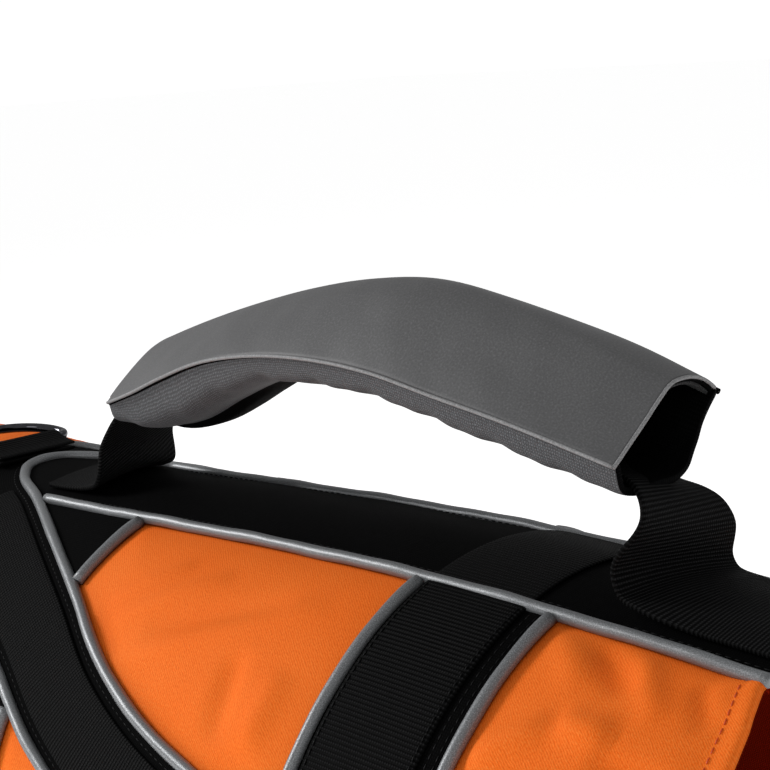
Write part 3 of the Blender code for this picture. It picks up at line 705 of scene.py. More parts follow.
# %% [markdown]
# ## Black bands
# The bands are strips of black cloth topstitched over the panel seams. Each one is a grid in the
# flat map, laid a little above the panel, with a narrow extra column at each edge so that the
# subdivision keeps the edge crisp but not sharp.

# %% Band helper
# How high the inner and the outer face of each kind of strip lie above the body.
CLOTH_FACES, BELT_FACES, YOKE_WEBBING_FACES = (0.8, 2.2), (2.4, 3.6), (2.3, 3.5)
CROSSING_FACES, CHEST_FACES = (2.7, 3.5), (0.9, 2.6)
EDGE_DROP = 0.35
# The cloth's edge is caught in the seam, under the piping.
PIPING_CLEAR = 1.3


def with_rims(count, rim=0.02):
    """Shares from 0 to 1 with a narrow cell at both ends."""
    return np.concatenate([[0.0, rim], np.linspace(0.0, 1.0, count + 1)[1:-1], [1.0 - rim, 1.0]])


def sew_on(name, node, grid, side, faces, slot, slack=0.0):
    """Lays a strip over a grid of places, between two heights, with its edges drawn down."""
    x, along, cut = grid
    low, high = faces
    drop = EDGE_DROP * np.linspace(-1.0, 1.0, x.shape[1])[None, :] ** 8
    outer = on_body(x, side * along, high - drop + slack)
    inner = on_body(x, side * along, low - 0.3 * drop + slack)
    finish = black_webbing if slot == "black_webbing" else black_cloth
    made = soften(shell(name, outer, inner, cut, finish))
    settle(made, [node])
    lay_cloth(cut)
    return made


# The spine band narrows to a tongue inside the front of the yoke: these are the tongue's rows.
TONGUE = (-196.9, -196.6, -195.0, -192.0, -188.0, -182.0, -174.0, -165.0, -157.0, -150.0)
stations = np.concatenate([TONGUE, np.linspace(-142.0, SPINE_END - 0.6, 80), [SPINE_END]])
halves = np.minimum(SPINE_HALF - PIPING_CLEAR, yoke_along(-PIPING_CLEAR, stations))
shares = 2.0 * with_rims(12) - 1.0
x = np.repeat(stations[:, None], len(shares), axis=1)
along = halves[:, None] * shares[None, :]
cut = np.stack([along, x], axis=-1)
# Slack in the band shows as two long shallow waves.
slack = 0.35 * np.sin(x / 23.0) * np.cos(along / 14.0) + 0.25 * np.sin(x / 11.0 + along / 9.0)
spine_band = sew_on("spine_band_cloth", "spine_band", (x, along, cut), 1.0, CLOTH_FACES,
                    "black_cloth", np.clip(slack, -0.4, 0.5))
print(spine_band.name, "flat size mm", np.ptp(cut.reshape(-1, 2), axis=0).round())

# %% Yoke
def yoke_grid(near, far, from_row=0, mirrored=True, cells=8):
    """Places between two lines parallel to the yoke's edge, with their cutting pattern."""
    rows = [yoke_line(near + share * (far - near))[from_row:] for share in with_rims(cells)]
    rows = [both_sides(line) for line in rows] if mirrored else rows
    grid = np.stack(rows, axis=1)
    length = lengths_along(grid[:, len(rows) // 2])
    across = with_rims(cells)[None, :] * (far - near)
    cut = np.stack(np.broadcast_arrays(across, length[:, None]), axis=-1)
    return grid[..., 0], grid[..., 1], cut


ARM_WEBBING, ARM_STARTS = (6.2, 31.8), 17
horseshoe = yoke_grid(PIPING_CLEAR, YOKE_WIDTH - PIPING_CLEAR)
yoke_band = sew_on("yoke_band_cloth", "yoke_band", horseshoe, 1.0, CLOTH_FACES, "black_cloth")
arm = yoke_grid(*ARM_WEBBING, from_row=ARM_STARTS, mirrored=False)
for side_name, side in SIDES:
    sew_on("yoke_arm_webbing_" + side_name, "yoke_webbing_" + side_name, arm, side,
           YOKE_WEBBING_FACES, "black_webbing")
print(yoke_band.name, len(yoke_band.data.polygons), "faces")

# %% Belts
def belt_grid(front, rear, begin, end, cells=8, step=5.0):
    """Places round the body between two x values. begin and end are distances or functions of x."""
    xs = front + with_rims(cells) * (rear - front)
    starts, ends = (limit(xs) if callable(limit) else np.full(len(xs), limit)
                    for limit in (begin, end))
    rows = with_rims(max(3, int(round(np.max(ends - starts) / step))), 0.004)[:, None]
    along = starts + rows * (ends - starts)
    x = np.broadcast_to(xs, along.shape)
    return x, along, np.stack([x - front, along], axis=-1)


def below_yoke(x):
    """Where a front belt comes out from under the yoke's piping."""
    return yoke_along(YOKE_WIDTH + PIPING_CLEAR, x) + 0.3


WEBBING_END = 31.5
CHEST_STRAP, CHEST_STRAP_TOP = (-279.0, -241.0), 168.0
belt_start = SPINE_HALF + PIPING_CLEAR
for name, (front, rear), begin, begin_webbing in (
        ("rear_belt", REAR_BELT, belt_start, belt_start),
        ("front_belt", FRONT_BELT, below_yoke, lambda x: below_yoke(x) + 1.5)):
    web_front = front + WEBBING_FROM
    for side_name, side in SIDES:
        if name == "front_belt":
            corner = belt_grid(front - 4.0, rear - PIPING_CLEAR, belt_start,
                               lambda x: yoke_along(-PIPING_CLEAR, x) - 0.3)
            sew_on("front_belt_upper_cloth_" + side_name, "front_belt_upper_" + side_name, corner,
                   side, CLOTH_FACES, "black_cloth")
        grid = belt_grid(front + PIPING_CLEAR, rear - PIPING_CLEAR, begin,
                         lambda x: panel_low(x) - 1.0)
        band = sew_on(f"{name}_cloth_{side_name}", f"{name}_band_{side_name}", grid, side,
                      CLOTH_FACES, "black_cloth")
        grid = belt_grid(web_front, web_front + WEBBING_WIDE, begin_webbing,
                         half_girth(front) - WEBBING_END)
        sew_on(f"{name}_strap_{side_name}", f"{name}_webbing_{side_name}", grid, side,
               BELT_FACES, "black_webbing")

web_front = REAR_BELT[0] + WEBBING_FROM
grid = belt_grid(web_front, web_front + WEBBING_WIDE, PIPING_CLEAR - SPINE_HALF,
                 SPINE_HALF - PIPING_CLEAR)
sew_on("rear_belt_over_spine", "rear_belt_crossing", grid, 1.0, CROSSING_FACES, "black_webbing")
for side_name, side in SIDES:
    grid = belt_grid(*CHEST_STRAP, CHEST_STRAP_TOP,
                     lambda xs: np.array([half_girth(x) for x in xs]) - WEBBING_END)
    sew_on("chest_strap_webbing_" + side_name, "chest_strap_" + side_name, grid, side,
           CHEST_FACES, "black_webbing")
print("cloth pieces so far:", len(PIECES))

# %% [markdown]
# ## Piping
# A line of piping is a soft cord in tape, so it is a tube along the edge of a band. It is never
# quite straight or even, and small regular waves give it the look of a stitched edge.

# %% Piping
PIPING_RADIUS, PIPING_HEIGHT, PIPING_STEP, PIPING_BUTT = 2.15, 2.5, 2.6, 2.4


def lay_piping(name, line, node):
    """Piping along a line of (x, along) places with their sign."""
    line = evenly(line, PIPING_STEP)
    place = np.arange(len(line)) * PIPING_STEP
    height = PIPING_HEIGHT + 0.16 * np.sin(place / 9.0) + 0.08 * np.sin(place / 3.7)
    radius = PIPING_RADIUS * (1.0 + 0.03 * np.sin(place / 6.1 + 1.0))
    made = tube(name, on_body(line[:, 0], line[:, 1], height), radius, piping_tape)
    settle(made, [node])


for name, offset in (("rear", 0.0), ("front", YOKE_WIDTH)):
    line = both_sides(yoke_line(offset))
    line[:, 0] = np.minimum(line[:, 0], YOKE_END - 1.8)
    lay_piping("yoke_edge_piping_" + name, line, "yoke_piping_" + name)
SPINE_PIPING_FRONT = -152.6
spine_edge = SPINE_HALF + PIPING_BUTT
for side_name, side in SIDES:
    lay_piping("spine_edge_piping_" + side_name,
               [(SPINE_PIPING_FRONT, side * SPINE_HALF), (SPINE_END + 0.2, side * SPINE_HALF)],
               "spine_piping_" + side_name)
    x, foot = FRONT_BELT[1], yoke_along(0.0, FRONT_BELT[1]) - 2.5
    lay_piping("front_belt_short_piping_" + side_name, [(x, side * spine_edge), (x, side * foot)],
               "front_belt_upper_piping_" + side_name)
    for belt, places in (("rear_belt", REAR_BELT), ("front_belt", FRONT_BELT)):
        for edge, x in zip(("front", "rear"), places):
            top = yoke_along(YOKE_WIDTH, x) + 2.5 if belt == "front_belt" else spine_edge
            lay_piping(f"{belt}_{edge}_piping_{side_name}",
                       [(x, side * top), (x, side * (panel_low(x) - 2.0))],
                       f"{belt}_piping_{edge}_{side_name}")
print("pieces so far:", len(PIECES))

# %% [markdown]
# ## Padded handle sleeve
# A wrap of padding goes round the handle webbing: laminated jersey on top, Oxford cloth under it.
# Its section leans over, with a broad smooth side towards the left and a crest near the right,
# and both ends stand open. The lower edge of the Oxford side is puckered, because it is
# gathered onto the shorter webbing. The jersey's cut edge lies on the Oxford cloth and shows as
# a light line.

# %% Sleeve shape
# Columns: x, near seam, crest, drop of the woven side.
HANDLE = (
    (-119.0, 47.0, 67.0, 7.0), (-104.0, 52.0, 72.0, 11.5), (-86.0, 59.0, 77.5, 14.0),
    (-62.0, 67.0, 84.0, 12.0), (-36.0, 71.5, 90.0, 8.5), (-8.0, 73.0, 94.5, 8.5),
    (24.0, 71.0, 96.0, 8.5), (52.0, 66.0, 92.0, 9.0), (80.0, 61.0, 85.5, 9.5),
    (104.0, 56.0, 78.5, 9.5), (122.0, 52.0, 72.0, 8.5),
)
# Columns: place over the back, share of the rise or of the drop.
SLEEVE_TOP = ((-23.4, -0.01), (-17.0, 0.27), (-11.0, 0.5), (-5.0, 0.71), (1.0, 0.88), (10.0, 1.0),
              (20.0, 0.9), (26.8, 0.66), (27.5, 0.0))
SLEEVE_UNDER = ((27.2, 0.0), (24.0, 0.9), (14.0, 1.25), (-3.0, 1.3), (-14.0, 1.25), (-19.5, 1.0),
                (-22.4, 0.0))
# Towards the tail the padding folds to a sharper crest and its far side slants in.
TAIL_TOP = ((-23.4, -0.01), (-16.0, 0.25), (-8.0, 0.53), (0.0, 0.82), (5.0, 0.97), (10.0, 1.0),
            (20.0, 0.92), (26.5, 0.72), (28.5, 0.62))
# A share below nothing is a share of the rise: the closing flap reaches up the far side.
TAIL_UNDER = ((28.2, -0.6), (23.5, -0.38), (19.5, -0.13), (16.0, 0.38), (13.0, 0.9), (8.0, 1.2),
              (-4.0, 1.25), (-14.0, 1.25), (-19.5, 1.0), (-22.4, 0.0))
SLEEVE_COLUMNS = 41
# About how high a share of 1 is, on the top and on the underside.
TYPICAL_RISE, TYPICAL_DROP = 22.0, 9.0
PAD_WALL, PUCKER = 2.4, 0.55


def rounded_line(points, tall):
    """A smooth curve through points of (place, share), in even steps; a share of 1 is tall high."""
    points = np.asarray(points, float) * (1.0, tall)
    lengths = lengths_along(points)
    places = np.linspace(0.0, lengths[-1], SLEEVE_COLUMNS)
    return smooth_through(np.column_stack([lengths, points]), places) / (1.0, tall)


def sleeve_side(under, wall, stations, pucker=0.0):
    """Outer and inner grid of one side of the sleeve, with its cutting pattern."""
    seam, crest, drop = (column[:, None] for column in smooth_through(HANDLE, stations).T)
    columns, tail_columns = (SLEEVE_UNDER, TAIL_UNDER) if under else (SLEEVE_TOP, TAIL_TOP)
    tall = TYPICAL_DROP if under else TYPICAL_RISE
    tailward = ease((stations - 10.0) / 95.0)[:, None, None]
    section = (rounded_line(columns, tall) * (1.0 - tailward)
               + rounded_line(tail_columns, tall) * tailward)
    y, share = section[..., 0], section[..., 1]
    if under:
        z = seam - 0.4 - share * np.where(share < 0.0, crest - seam, drop)
        near_edge = (np.linspace(0.0, 1.0, SLEEVE_COLUMNS) - 0.84) / 0.07
        wave = np.sin(stations / 4.3) + 0.6 * np.sin(stations / 2.1 + 1.0)
        z -= pucker * wave[:, None] * np.exp(-near_edge ** 2)
        # The closing flap on the far side hangs lower near the head.
        headward = ease((-35.0 - stations) / 40.0)[:, None]
        z -= 3.0 * headward * ease((y + 4.0) / 8.0) * ease((24.0 - y) / 6.0)
    else:
        z = seam + share * (crest - seam)
    x = np.broadcast_to(stations[:, None], y.shape)
    outer = np.stack([x, y, z], axis=-1)
    normal = np.cross(np.gradient(outer, axis=0), np.gradient(outer, axis=1))
    normal /= np.linalg.norm(normal, axis=-1)[..., None]
    halfway = len(stations) // 2
    points_down = normal[halfway, SLEEVE_COLUMNS // 2, 2] < 0
    inner = outer + wall * normal * (1.0 if points_down != under else -1.0)
    cut = np.stack(np.broadcast_arrays(lengths_along(outer[halfway])[None, :], x), axis=-1)
    return outer, inner, cut


SLEEVE_STATIONS = np.concatenate(
    [[-119.0, -118.6], np.linspace(-117.5, 120.5, 120), [121.6, 122.0]])
top_face, inner, cut = sleeve_side(False, PAD_WALL, SLEEVE_STATIONS)
sleeve_top = soften(shell("handle_sleeve_jersey", top_face, inner, cut, coated_jersey))
sleeve_top.data.materials.append(black_cloth)
for face in sleeve_top.data.polygons:
    face.material_index = int(face.normal.z < -0.1)
settle(sleeve_top, ["handle_cover_top"])
outer, inner, cut_under = sleeve_side(True, PAD_WALL, SLEEVE_STATIONS, PUCKER)
sleeve_under = soften(shell("handle_sleeve_oxford", outer, inner, cut_under, oxford))
# The half that closes over the webbing, and the inside, are black cloth.
sleeve_under.data.materials.append(black_cloth)
for face in sleeve_under.data.polygons:
    inward = face.normal.z > 0.2 or face.normal.y > 0.3 or face.normal.x > 0.5
    face.material_index = int(face.center.y > -0.002 or inward)
settle(sleeve_under, ["handle_cover_underside"])
print("sleeve section cut, mm:", *(round(float(np.ptp(flat[..., 0]))) for flat in (cut, cut_under)))

# %% Raw edge of the jersey
RAW_EDGE_RADIUS = 0.62
raw_lines = (("seam", top_face[2:, 0] + (0.0, -0.3, -0.2)),
             ("rear", top_face[-1, :-2] + (0.1, 0.0, -0.7)),
             ("front", top_face[0, 2:-6] + (-0.1, 0.2, -0.7)))
for name, line in raw_lines:
    made = tube("jersey_raw_edge_" + name, evenly(line, 2.0), RAW_EDGE_RADIUS, raw_edge, sides=8)
    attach(made, "garment")
print("raw edges:", len(raw_lines))

# %% [markdown]
# ## Handle webbing
# One length of 50 mm webbing is sewn flat at the front, rises in a folded twist into the sleeve,
# leaves it through the other end in a C-shaped bulge, and lies flat again to the tail. Its
# middle line is a table of left and right edges, and a smooth surface is laid through them.

# %% Handle webbing
# Columns: x, y and z of the left edge, x, y and z of the right edge, bow of the middle.
FRONT_RISE = (
    (-134.0, -24.5, 11.8, -147.0, 24.0, 11.0, 2.6), (-128.0, -25.0, 14.5, -141.5, 24.0, 13.5, 1.6),
    (-126.0, -24.5, 20.0, -140.0, 23.0, 18.5, 0.6), (-128.0, -22.0, 26.5, -138.0, 21.0, 25.0, 0.0),
    (-128.0, -18.0, 33.0, -131.0, 17.0, 32.0, 0.0), (-122.5, -14.0, 41.5, -121.5, 13.0, 42.0, 0.0),
    (-111.0, -13.0, 45.5, -111.0, 13.0, 45.5, 0.0),
)
REAR_RISE = (
    (112.0, -13.0, 46.5, 110.0, 13.0, 41.0, 0.0), (120.0, -14.0, 45.0, 118.0, 15.0, 38.5, 0.0),
    (126.0, -17.0, 41.5, 124.0, 18.0, 36.3, 0.0), (128.8, -20.0, 36.5, 128.3, 20.5, 33.0, 0.0),
    (127.5, -22.0, 32.0, 130.2, 23.0, 27.5, 0.0), (123.0, -24.5, 26.0, 129.5, 24.0, 21.5, 0.0),
    (121.0, -25.0, 21.0, 128.0, 24.5, 16.0, 0.6), (122.5, -25.0, 15.2, 129.5, 25.0, 11.8, 1.4),
    (131.0, -25.0, 11.0, 140.0, 24.5, 9.5, 2.2),
)
STRAP_COLUMNS = np.linspace(0.0, 1.0, 5)
STRAP_HALF, STRAP_THICK, GRIP_HALF = 24.0, 1.9, 13.0
# The front foot is twisted, which draws its ribs aslant: by how much, where, and how far around.
RIB_SLANT, TWIST_AT, TWIST_REACH = 20.0, 42.0, 22.0


def strap_row(x_left, y_left, z_left, x_right, y_right, z_right, bow):
    left, right = np.array([x_left, y_left, z_left]), np.array([x_right, y_right, z_right])
    row = left + STRAP_COLUMNS[:, None] * (right - left)
    row[:, 2] += bow * 4.0 * STRAP_COLUMNS * (1.0 - STRAP_COLUMNS)
    return row


def flat_row(x):
    return on_body(x, STRAP_HALF * (2.0 * STRAP_COLUMNS - 1.0), 3.9)


def grip_row(x):
    """The webbing inside the sleeve, folded narrower and lying near its floor."""
    seam, _, drop = smooth_through(HANDLE, x)[0]
    height = seam - 1.3 * drop + 5.4
    return strap_row(x, -GRIP_HALF, height, x, GRIP_HALF, height, 0.0)


rows = [flat_row(x) for x in (-161.0, -153.0)] + [strap_row(*row) for row in FRONT_RISE]
rows += [grip_row(row[0]) for row in HANDLE[2:-2]]
rows += [strap_row(*row) for row in REAR_RISE]
rows += [flat_row(x) for x in (148.0, 162.0, SPINE_END - 0.2)]
rows = np.array(rows)
lengths = lengths_along(rows[:, 2])
end = lengths[-1]
places = np.concatenate([[0.0, 0.5], np.arange(2.5, end - 2.0, 2.2), [end - 0.5, end]])
table = np.column_stack([lengths, rows.reshape(len(rows), -1)])
fine = smooth_through(table, places).reshape(len(places), len(STRAP_COLUMNS), 3)
across = with_rims(10, 0.025)
grid = np.stack([smooth_through(np.column_stack([STRAP_COLUMNS, row]), across) for row in fine])
normal = np.cross(np.gradient(grid, axis=0), np.gradient(grid, axis=1))
normal *= 0.5 * STRAP_THICK / np.linalg.norm(normal, axis=-1)[..., None]
cut = np.stack(np.broadcast_arrays(across[None, :] * 2.0 * STRAP_HALF, places[:, None]), axis=-1)
twist = np.exp(-((places[:, None] - TWIST_AT) / TWIST_REACH) ** 2) * (across[None, :] - 0.5)
drawn = cut - RIB_SLANT * np.stack([np.zeros_like(twist), twist], axis=-1)
handle_strap = soften(shell("handle_strap", grid + normal, grid - normal, drawn,
                            handle_webbing_finish))
settle(handle_strap, ["handle_webbing"])
lay_cloth(cut)
print("handle webbing length, mm:", round(float(end)))

# %% [markdown]
# ## Leash ring
# The ring is a D of 4 mm black-nickel wire. A circle is the wire's section; it is extruded along
# the straight bar and spun round the corners and the bow, which is then flattened a little.

# %% Ring
RING_BAR = Vector((-0.217, 0.0, 0.0145))
RING_HALF, RING_CORNER, RING_WIRE = 0.025, 0.005, 0.002
RING_BOW, RING_TILT = 0.84, -7.0
WIRE_SIDES, MERGE = 20, 0.0002

def edit(made):
    """Enters edit mode on one object, with nothing else selected."""
    for other in bpy.context.selected_objects:
        other.select_set(False)
    made.select_set(True)
    bpy.context.view_layer.objects.active = made
    bpy.ops.object.mode_set(mode="EDIT")


def leave(made):
    """Leaves edit mode and puts the object's place into its mesh."""
    bpy.ops.object.mode_set(mode="OBJECT")
    bpy.ops.object.transform_apply(location=True, rotation=True, scale=True)
    made.select_set(False)
    return made

straight = RING_HALF - RING_CORNER
bpy.ops.mesh.primitive_circle_add(
    vertices=WIRE_SIDES, radius=RING_WIRE, rotation=(math.radians(90.0), 0.0, 0.0),
    location=(RING_BAR.x, -straight, RING_BAR.z))
ring = bpy.context.active_object
ring.name = "leash_ring_wire"
edit(ring)
bpy.ops.mesh.select_all(action="SELECT")
bpy.ops.mesh.extrude_region_move(
    TRANSFORM_OT_translate={"value": (0.0, 2.0 * straight, 0.0), "orient_type": "GLOBAL"})
# Columns: y of the centre of a bend, its angle and its steps.
for centre_y, degrees, steps in ((straight, -90.0, 8), (0.0, -180.0, 40), (-straight, -90.0, 8)):
    bpy.ops.mesh.spin(steps=steps, angle=math.radians(degrees), axis=(0.0, 0.0, 1.0),
                      center=(RING_BAR.x - RING_CORNER, centre_y, RING_BAR.z))
bpy.ops.mesh.select_all(action="SELECT")
bpy.ops.mesh.remove_doubles(threshold=MERGE)
bpy.ops.mesh.normals_make_consistent(inside=False)
# The bow is pressed a little flatter than a half circle, and the ring lies nearly on the back.
bow_centre = (RING_BAR.x - RING_CORNER, 0.0, RING_BAR.z)
bpy.ops.object.mode_set(mode="OBJECT")
for vertex in ring.data.vertices:
    vertex.select = (ring.matrix_world @ vertex.co).x < bow_centre[0] - 0.0005
bpy.ops.object.mode_set(mode="EDIT")
bpy.ops.transform.resize(value=(RING_BOW, 1.0, 1.0), center_override=bow_centre)
bpy.ops.mesh.select_all(action="SELECT")
bpy.ops.transform.rotate(value=math.radians(RING_TILT), orient_axis="Y", center_override=RING_BAR)
leave(ring)
ring.data.polygons.foreach_set("use_smooth", [True] * len(ring.data.polygons))

# Black nickel: a dark, mirror-bright plating on steel, so nearly all that is seen is reflection.
black_nickel, tree, shader = new_material("black_nickel_plated_steel", Metallic=1.0, Roughness=0.12)
object_place = add_node(tree, "ShaderNodeTexCoord").outputs["Object"]
paint(tree, shader, speckle(tree, object_place, 3.0), [(0.3, "#4b4b4f"), (0.7, "#5c5c61")])
add_bump(tree, shader, speckle(tree, object_place, 6.0), 0.02, 0.4)
ring.data.materials.append(black_nickel)
settle(ring, ["leash_ring"], body="leash_ring")
ring_points = np.array([vertex.co for vertex in ring.data.vertices]) / MM
print("ring from", ring_points.min(0).round(1), "to", ring_points.max(0).round(1))

# %% Loop that holds the ring
TAB_HALF, TAB_TAIL, TAB_THICK = 19.0, -203.5, 1.3
WIRE_CLEAR = 0.4
bar_x, bar_z = RING_BAR.x / MM, RING_BAR.z / MM
turn_radius = RING_WIRE / MM + WIRE_CLEAR + 0.5 * TAB_THICK
angles = np.radians(np.linspace(-90.0, -270.0, 17))
round_bar = np.column_stack([bar_x + turn_radius * np.cos(angles),
                             bar_z + turn_radius * np.sin(angles)])
# The lower layer runs under the ring, round its bar and back over it to the same seam.
line = evenly([(TAB_TAIL, bar_z - turn_radius + 0.2), *round_bar, (bar_x + 4.0, bar_z + 1.4),
               (bar_x + 8.0, bar_z + 0.2), (TAB_TAIL, bar_z - 0.6)], 0.9)
run = np.gradient(line, axis=0)
run /= np.linalg.norm(run, axis=1)[:, None]
aside = np.column_stack([run[:, 1], -run[:, 0]]) * 0.5 * TAB_THICK
across = TAB_HALF * (2.0 * with_rims(8, 0.03) - 1.0)


def tab_face(points):
    """Carries a line of (x, z) points across the width of the loop."""
    x, z = points[:, :1], points[:, 1:]
    return np.stack(np.broadcast_arrays(x, across[None, :], z), axis=-1)


lengths = lengths_along(line)
cut = np.stack(np.broadcast_arrays(across[None, :], lengths[:, None]), axis=-1)
tab = soften(shell("leash_ring_loop", tab_face(line + aside), tab_face(line - aside), cut,
                   black_webbing))
settle(tab, ["leash_ring_tab"])
lay_cloth(cut)
print("loop webbing, mm:", round(float(lengths[-1])), "by", 2 * TAB_HALF)

# %% [markdown]
# ## Side-release buckles
# A socket half is a rounded block with a hollow mouth, a window in each side for the two arms
# of the prong half, a slot for the webbing and a shallow recess on the face that shows. Both
# halves are modelled once, at the origin, and copied to the three straps.

# %% Buckle halves
acetal, tree, shader = new_material("black_acetal_plastic", Roughness=0.45)
grain = speckle(tree, add_node(tree, "ShaderNodeTexCoord").outputs["Object"], 0.6, 3.0)
paint(tree, shader, grain, [(0.3, "#0d0d0e"), (0.7, "#1a1a1b")])
add_bump(tree, shader, grain, 0.03, 0.6)

# Columns: one corner, the other corner, rounding of the edges.
SOCKET_BODY = ((-24.0, -30.0, -5.5), (24.0, 8.0, 5.5), 2.4)
PRONG_BODY = ((-24.0, 8.3, -5.5), (24.0, 30.0, 5.5), 2.4)
# The rows: mouth, two side windows, webbing slot, recess.
SOCKET_STEPS = (
    ("DIFFERENCE", (-20.5, -21.0, -3.0), (20.5, 12.0, 3.0), 0.0),
    ("DIFFERENCE", (-30.0, -19.0, -3.2), (-18.0, -2.0, 3.2), 0.6),
    ("DIFFERENCE", (18.0, -19.0, -3.2), (30.0, -2.0, 3.2), 0.6),
    ("DIFFERENCE", (-21.0, -27.6, -9.0), (21.0, -24.4, 9.0), 0.8),
    ("DIFFERENCE", (-13.0, -18.0, -8.0), (13.0, 3.0, -4.9), 1.0),
)
# The rows: left arm and its pad, right arm and its pad, tongue, webbing slot, three grip grooves.
PRONG_STEPS = (
    ("UNION", (-18.5, -16.0, -2.4), (-13.0, 11.0, 2.4), 0.8),
    ("UNION", (-24.4, -17.5, -2.5), (-16.0, -4.5, 2.5), 1.2),
    ("UNION", (13.0, -16.0, -2.4), (18.5, 11.0, 2.4), 0.8),
    ("UNION", (16.0, -17.5, -2.5), (24.4, -4.5, 2.5), 1.2),
    ("UNION", (-2.5, -15.0, -2.2), (2.5, 11.0, 2.2), 0.8),
    ("DIFFERENCE", (-21.0, 24.4, -9.0), (21.0, 27.6, 9.0), 0.8),
    *(("DIFFERENCE", (-16.0, groove, -8.0), (16.0, groove + 1.4, -5.0), 0.0)
      for groove in (13.0, 16.5, 20.0)),
)
EDGE_ROUNDING, SMOOTH_BELOW = 0.4, math.radians(35.0)


def block(low, high, rounding):
    """A box between two corners, in millimetres, with rounded edges."""
    low, high = np.array(low, float) * MM, np.array(high, float) * MM
    bpy.ops.object.select_all(action="DESELECT")
    bpy.ops.mesh.primitive_cube_add(size=1.0, location=0.5 * (low + high), scale=high - low)
    made = bpy.context.active_object
    bpy.ops.object.transform_apply(location=True, rotation=True, scale=True)
    if rounding:
        edit(made)
        bpy.ops.mesh.select_all(action="SELECT")
        bpy.ops.mesh.bevel(offset=rounding * MM, segments=3, affect="EDGES")
        leave(made)
    return made


def apply_modifier(made, modifier):
    bpy.ops.object.select_all(action="DESELECT")
    made.select_set(True)
    bpy.context.view_layer.objects.active = made
    bpy.ops.object.modifier_apply(modifier=modifier.name)


def buckle_half(name, body, steps):
    """Cuts or joins blocks one after another, then rounds the edges and adds the plastic."""
    made = block(*body)
    for operation, *box in steps:
        other = block(*box)
        modifier = made.modifiers.new(operation.lower(), "BOOLEAN")
        modifier.operation, modifier.solver, modifier.object = operation, "EXACT", other
        apply_modifier(made, modifier)
        bpy.data.objects.remove(other)
    modifier = made.modifiers.new("edges", "BEVEL")
    modifier.width, modifier.segments, modifier.limit_method = EDGE_ROUNDING * MM, 2, "ANGLE"
    apply_modifier(made, modifier)
    bpy.ops.object.shade_smooth_by_angle(angle=SMOOTH_BELOW)
    made.name = name
    made.data.materials.clear()
    made.data.materials.append(acetal)
    return made


socket = buckle_half("buckle_socket_pattern", SOCKET_BODY, SOCKET_STEPS)
prongs = buckle_half("buckle_prong_pattern", PRONG_BODY, PRONG_STEPS)

for place in ("rear", "front", "chest"):
    low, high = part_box(place + "_buckle_socket")
    shift = Matrix.Translation((0.5 * (low.x + high.x), 0.0, 0.5 * (low.z + high.z)))
    for pattern, node in ((socket, "_buckle_socket"), (prongs, "_buckle_prong_half")):
        made = bpy.data.objects.new(place + node + "_plastic", pattern.data.copy())
        made.data.transform(shift)
        bpy.context.scene.collection.objects.link(made)
        settle(made, [place + node])
print("buckle halves:", len(socket.data.polygons), "and", len(prongs.data.polygons), "faces")
for pattern in (socket, prongs):
    bpy.data.objects.remove(pattern)

# %% [markdown]
# ## Inside of the sleeve
# The sleeve closes with hook-and-loop tape, so its inside is lined with black pile, which shows
# at the open end. The lining follows the far side of the same section, a little further in.

# %% Sleeve lining
PILE_THICK, PILE_FROM, BINDING_FROM, BINDING_RADIUS = 1.0, 14, 20, 1.0
lining_stations = np.linspace(40.0, 121.3, 40)
# Two sheets inside the wall of the padding, 0.2 mm and then the pile's thickness further in.
(_, face, cut), (_, back, _) = [sleeve_side(False, PAD_WALL + 0.2 + depth, lining_stations)
                                for depth in (0.0, PILE_THICK)]
face, back, cut = face[:, PILE_FROM:], back[:, PILE_FROM:], cut[:, PILE_FROM:]
lining = shell("handle_sleeve_lining", face, back, cut, loop_pile)
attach(lining, "garment")
lay_cloth(cut)
# A rolled binding covers the far edge, where the top and the closing flap meet.
far_edge = top_face[BINDING_FROM:, -1] + (0.0, 0.2, -0.3)
binding = tube("sleeve_far_binding", evenly(far_edge, 3.0), BINDING_RADIUS, black_cloth, sides=8)
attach(binding, "garment")
print("lining", len(lining.data.polygons), "faces")

# %% [markdown]
# ## Topstitching
# A lockstitch shows as a row of short raised dashes that dip in and out of the cloth. One dash is
# a small spindle of thread; it is repeated along a line, and all dashes of one colour make one
# piece.

# %% Stitch rows
PITCH, DASH_LONG, DASH_SIDES = 3.1, 2.2, 5
# Columns: place along a dash, share of its thickness.
DASH = ((-0.5, 0.25), (-0.3, 0.85), (0.0, 1.0), (0.3, 0.85), (0.5, 0.25))


